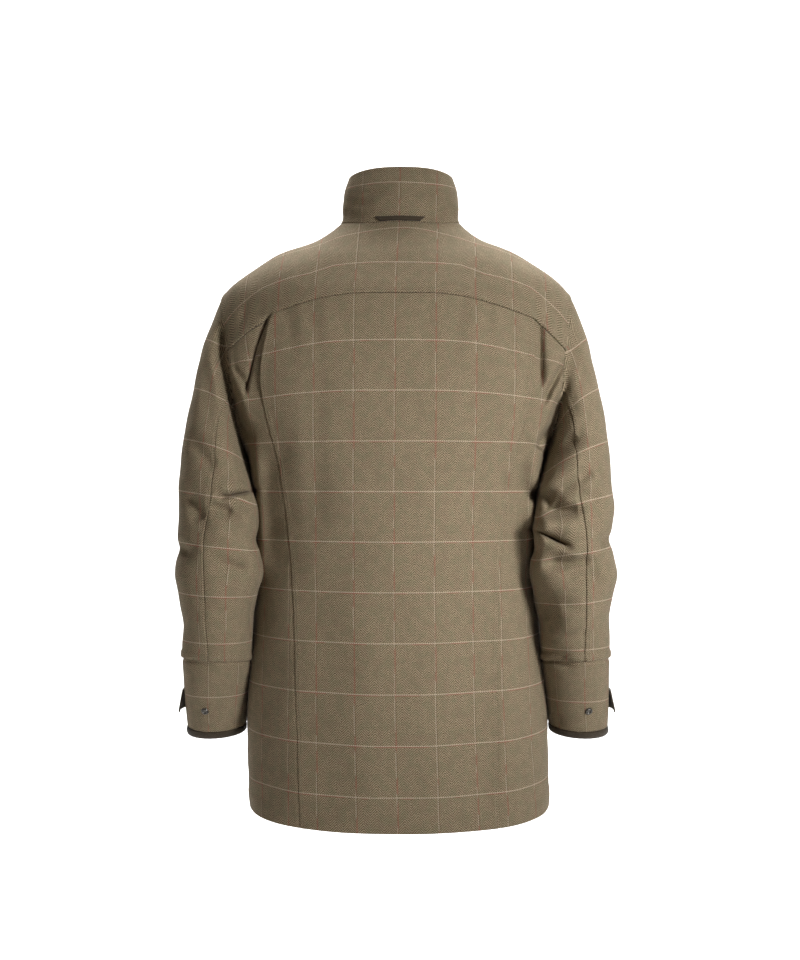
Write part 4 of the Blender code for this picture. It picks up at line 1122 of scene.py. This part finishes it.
class Shader:
    """A Principled material whose nodes are added by short calls."""

    def __init__(self, name):
        self.material = bpy.data.materials.new(name)
        self.material.use_nodes = True
        self.tree = self.material.node_tree
        self.principled = self.tree.nodes["Principled BSDF"]

    def put(self, socket, value):
        """Links a node's output to a socket, or sets the socket's own value."""
        if isinstance(value, bpy.types.NodeSocket):
            self.tree.links.new(value, socket)
        else:
            socket.default_value = value

    def math(self, operation, first, second=0.0, third=0.0):
        """One sum of up to three values."""
        node = self.tree.nodes.new("ShaderNodeMath")
        node.operation = operation
        for socket, value in zip(node.inputs, (first, second, third)):
            self.put(socket, value)
        return node.outputs[0]

    def ramp(self, value, low, high, to_low=0.0, to_high=1.0):
        """A smooth step between two values."""
        node = self.tree.nodes.new("ShaderNodeMapRange")
        node.interpolation_type = "SMOOTHSTEP"
        for socket, number in zip(node.inputs, (value, low, high, to_low, to_high)):
            self.put(socket, number)
        return node.outputs[0]

    def mix(self, share, first, second):
        """A share of the second colour over the first."""
        node = self.tree.nodes.new("ShaderNodeMix")
        node.data_type = "RGBA"
        self.put(node.inputs["Factor"], share)
        self.put(node.inputs[6], first)
        self.put(node.inputs[7], second)
        return node.outputs[2]

    def noise(self, vector, scale, detail=2.0, roughness=0.5):
        """Cloudy noise, scale times to the metre."""
        node = self.tree.nodes.new("ShaderNodeTexNoise")
        self.put(node.inputs["Vector"], vector)
        node.inputs["Scale"].default_value = scale
        node.inputs["Detail"].default_value = detail
        node.inputs["Roughness"].default_value = roughness
        return node.outputs["Fac"]

    def wave(self, value, pitch):
        """A sine wave of the given pitch."""
        return self.math("SINE", self.math("MULTIPLY", value, 2 * math.pi / pitch))

    def stretched(self, across, down):
        """A place on the cloth from its two lengths."""
        node = self.tree.nodes.new("ShaderNodeCombineXYZ")
        self.put(node.inputs[0], across)
        self.put(node.inputs[1], down)
        return node.outputs[0]

    def cloth_place(self):
        """The place on the cloth in metres, and its lengths across and down."""
        node = self.tree.nodes.new("ShaderNodeUVMap")
        node.uv_map = "cloth"
        split = self.tree.nodes.new("ShaderNodeSeparateXYZ")
        self.put(split.inputs[0], node.outputs[0])
        return node.outputs[0], split.outputs[0], split.outputs[1]

    def bump(self, height, strength, distance):
        """Fine relief of the surface."""
        node = self.tree.nodes.new("ShaderNodeBump")
        node.inputs["Strength"].default_value = strength
        node.inputs["Distance"].default_value = distance
        self.put(node.inputs["Height"], height)
        self.put(self.principled.inputs["Normal"], node.outputs[0])

    def set(self, **values):
        """Sets the finish's named sockets."""
        for name, value in values.items():
            self.put(self.principled.inputs[name.replace("_", " ")], value)


HERRINGBONE_BAND = 0.0095
TWILL_PITCH = 0.0034
CHECK_ACROSS = 0.0570
CHECK_DOWN = 0.0705
CHECK_DOTS = 0.0030
LIGHT_YARN = (0.400, 0.318, 0.208, 1.0)
DARK_YARN = (0.036, 0.026, 0.014, 1.0)
GREEN_YARN = (0.140, 0.138, 0.082, 1.0)
HEATHER_YARN = (0.190, 0.128, 0.090, 1.0)
RUST_YARN = (0.260, 0.085, 0.065, 1.0)
CREAM_YARN = (0.560, 0.460, 0.350, 1.0)
BROWN_YARN = (0.085, 0.058, 0.036, 1.0)


def tweed_material():
    """Herringbone tweed with a fine overcheck, charted in metres across and down the cloth."""
    s = Shader("tweed_cloth")
    place, across, down = s.cloth_place()
    fold = s.math("PINGPONG", across, HERRINGBONE_BAND)
    twill = s.wave(s.math("ADD", down, fold), TWILL_PITCH)
    yarn = s.noise(place, 640.0, 0.0)
    share = s.math("MULTIPLY_ADD", s.ramp(twill, -0.5, 0.5), 0.60, s.ramp(yarn, 0.30, 0.70, 0.04, 0.36))
    colour = s.mix(share, DARK_YARN, LIGHT_YARN)
    greenish = s.ramp(s.noise(place, 70.0, 1.0), 0.42, 0.64, 0.0, 0.30)
    brownish = s.ramp(s.noise(s.stretched(down, across), 64.0, 1.0), 0.46, 0.66, 0.0, 0.22)
    colour = s.mix(greenish, colour, GREEN_YARN)
    colour = s.mix(brownish, colour, HEATHER_YARN)

    def line(value, spacing, offset, width):
        near = s.math("PINGPONG", s.math("ADD", value, offset), spacing / 2)
        return s.ramp(near, width * 0.35, width, 1.0, 0.0)

    def dots(value, offset):
        return s.ramp(s.wave(s.math("ADD", value, offset), CHECK_DOTS), -0.6, 0.6, 0.2, 1.0)

    reddish = s.ramp(s.noise(place, 28.0, 1.0), 0.46, 0.56)
    paler = s.math("SUBTRACT", 1.0, reddish)
    left_thread = s.math("MULTIPLY", line(across, CHECK_ACROSS, 0.0006, 0.0010), dots(down, 0.0))
    right_thread = line(across, CHECK_ACROSS, -0.0007, 0.0009)
    upper_thread = s.math("MULTIPLY", line(down, CHECK_DOWN, 0.0, 0.0010), dots(across, 0.0))
    lower_thread = line(down, CHECK_DOWN, -0.0014, 0.0009)
    for thread, strength, yarn_colour in (
        (right_thread, s.math("MULTIPLY", paler, 0.50), BROWN_YARN),
        (right_thread, s.math("MULTIPLY", reddish, 0.62), RUST_YARN),
        (left_thread, s.math("MULTIPLY", reddish, 0.40), RUST_YARN),
        (left_thread, s.math("MULTIPLY", paler, 0.58), CREAM_YARN),
        (lower_thread, s.math("MULTIPLY", reddish, 0.62), RUST_YARN),
        (upper_thread, 0.85, CREAM_YARN),
    ):
        colour = s.mix(s.math("MULTIPLY", thread, strength), colour, yarn_colour)
    s.set(Base_Color=colour, Roughness=0.95, Sheen_Weight=0.12, Sheen_Roughness=0.45,
          Sheen_Tint=(0.80, 0.72, 0.60, 1.0), Specular_IOR_Level=0.12)
    s.bump(twill, 0.25, 0.0005)
    return s.material


def thread_material():
    """Sewing thread: plain, a little paler than the cloth."""
    s = Shader("sewing_thread")
    s.set(Base_Color=(0.260, 0.215, 0.150, 1.0), Roughness=0.75, Specular_IOR_Level=0.25)
    return s.material


def suede_material():
    """Dark suede: two browns mixed by a fine nap."""
    s = Shader("dark_suede")
    place, _, _ = s.cloth_place()
    grain = s.noise(place, 700.0, 3.0, 0.6)
    s.set(Base_Color=s.mix(s.ramp(grain, 0.3, 0.7), (0.030, 0.022, 0.014, 1.0), (0.066, 0.050, 0.032, 1.0)),
          Roughness=0.90, Sheen_Weight=0.15, Sheen_Roughness=0.5, Specular_IOR_Level=0.2)
    s.bump(grain, 0.4, 0.0005)
    return s.material


def metal_material():
    """Dark gunmetal of the studs."""
    s = Shader("gunmetal")
    s.set(Base_Color=(0.11, 0.105, 0.095, 1.0), Metallic=0.9, Roughness=0.38)
    return s.material


# Studio

NEUTRAL = (1.0, 1.0, 1.0)
WARM = (1.0, 0.76, 0.52)
Lamp = namedtuple("Lamp", "name place aim size power spread colour")
LAMPS = [
    Lamp("key_right", (1.20, -1.60, 0.08), (0.10, -0.10, -0.42), 0.6, 4.1, 52, NEUTRAL),
    Lamp("fill_left", (-2.5, -1.6, 0.3), (0.0, 0.0, -0.4), 1.8, 2.0, 180, WARM),
    Lamp("top", (0.2, -0.4, 2.0), (0.0, 0.0, -0.2), 1.2, 1.0, 180, WARM),
    Lamp("sweep_wash", (0.0, 1.4, 2.6), (0.0, 4.0, -0.6), 3.0, 420.0, 180, NEUTRAL),
]
SURROUND_COLOUR = (1.0, 0.93, 0.84, 1.0)
SURROUND_STRENGTH = 0.12
SWEEP_HALF_WIDTH = 8.0
SWEEP_NEAR = -6.0
SWEEP_FAR = 4.0
SWEEP_FLOOR = -1.62
SWEEP_TOP = 4.0
SWEEP_BEND = 1.6
PICTURE_WIDTH = 800
PICTURE_HEIGHT = 960
FOCAL_PIXELS = 1270
SENSOR = 36.0
CAMERA_PLACE = (0.0, -1.915, -0.374)


def pale_sweep():
    """Pale floor that bends up, along a quarter circle, into the wall behind the coat."""
    turn = np.linspace(0, np.pi / 2, 24)
    y = np.concatenate([[SWEEP_NEAR], SWEEP_FAR - SWEEP_BEND + SWEEP_BEND * np.sin(turn), [SWEEP_FAR]])
    z = np.concatenate([[SWEEP_FLOOR], SWEEP_FLOOR + SWEEP_BEND - SWEEP_BEND * np.cos(turn), [SWEEP_TOP]])
    count = len(y)
    sides = (-SWEEP_HALF_WIDTH, SWEEP_HALF_WIDTH)
    points = np.concatenate([np.stack([np.full(count, x), y, z], -1) for x in sides])
    index = np.arange(count - 1)
    quads = np.stack([index, index + count, index + count + 1, index + 1], -1)
    paint = Shader("pale_sweep")
    paint.set(Base_Color=(0.90, 0.90, 0.90, 1.0), Roughness=0.9)
    mesh = plain_mesh("pale_floor", points, quads)
    mesh.materials.append(paint.material)
    floor = bpy.data.objects.new("pale_floor", mesh)
    bpy.context.scene.collection.objects.link(floor)


def lamps():
    """A soft key from the right, weaker warm light from the left and above, and a wash over the sweep."""
    scene = bpy.context.scene
    for lamp in LAMPS:
        light = bpy.data.lights.new(lamp.name, "AREA")
        light.shape = "DISK"
        light.size = lamp.size
        light.energy = lamp.power
        light.color = lamp.colour
        light.spread = math.radians(lamp.spread)
        placed = bpy.data.objects.new(lamp.name, light)
        placed.location = lamp.place
        away = np.array(lamp.place) - np.array(lamp.aim)
        flat = math.hypot(away[0], away[1])
        placed.rotation_euler = (math.atan2(flat, away[2]), 0.0, math.atan2(away[0], -away[1]))
        scene.collection.objects.link(placed)
    scene.world = bpy.data.worlds.new("studio")
    scene.world.use_nodes = True
    surround = scene.world.node_tree.nodes["Background"]
    surround.inputs["Color"].default_value = SURROUND_COLOUR
    surround.inputs["Strength"].default_value = SURROUND_STRENGTH


def camera():
    """The photograph's view: level, from behind the coat, at the height of its waist."""
    scene = bpy.context.scene
    scene.view_settings.view_transform = "Standard"
    scene.render.resolution_x = PICTURE_WIDTH
    scene.render.resolution_y = PICTURE_HEIGHT
    lens = bpy.data.cameras.new("camera")
    lens.sensor_width = SENSOR
    lens.lens = SENSOR * FOCAL_PIXELS / PICTURE_HEIGHT
    lens.clip_start = 0.01
    placed = bpy.data.objects.new("camera", lens)
    placed.location = CAMERA_PLACE
    placed.rotation_euler = (math.pi / 2, 0.0, 0.0)
    scene.collection.objects.link(placed)
    scene.camera = placed


TWEED = tweed_material()
THREAD = thread_material()
SUEDE = suede_material()
METAL = metal_material()

collar()
yoke()
back_centre()
for side, word in SIDES:
    back_side(side, word)
    front(side, word)
    sleeve(side, word)
    cuff_binding(side, word)
    cuff_tab(side, word)
hanger_loop()
studs()
pale_sweep()
lamps()
camera()
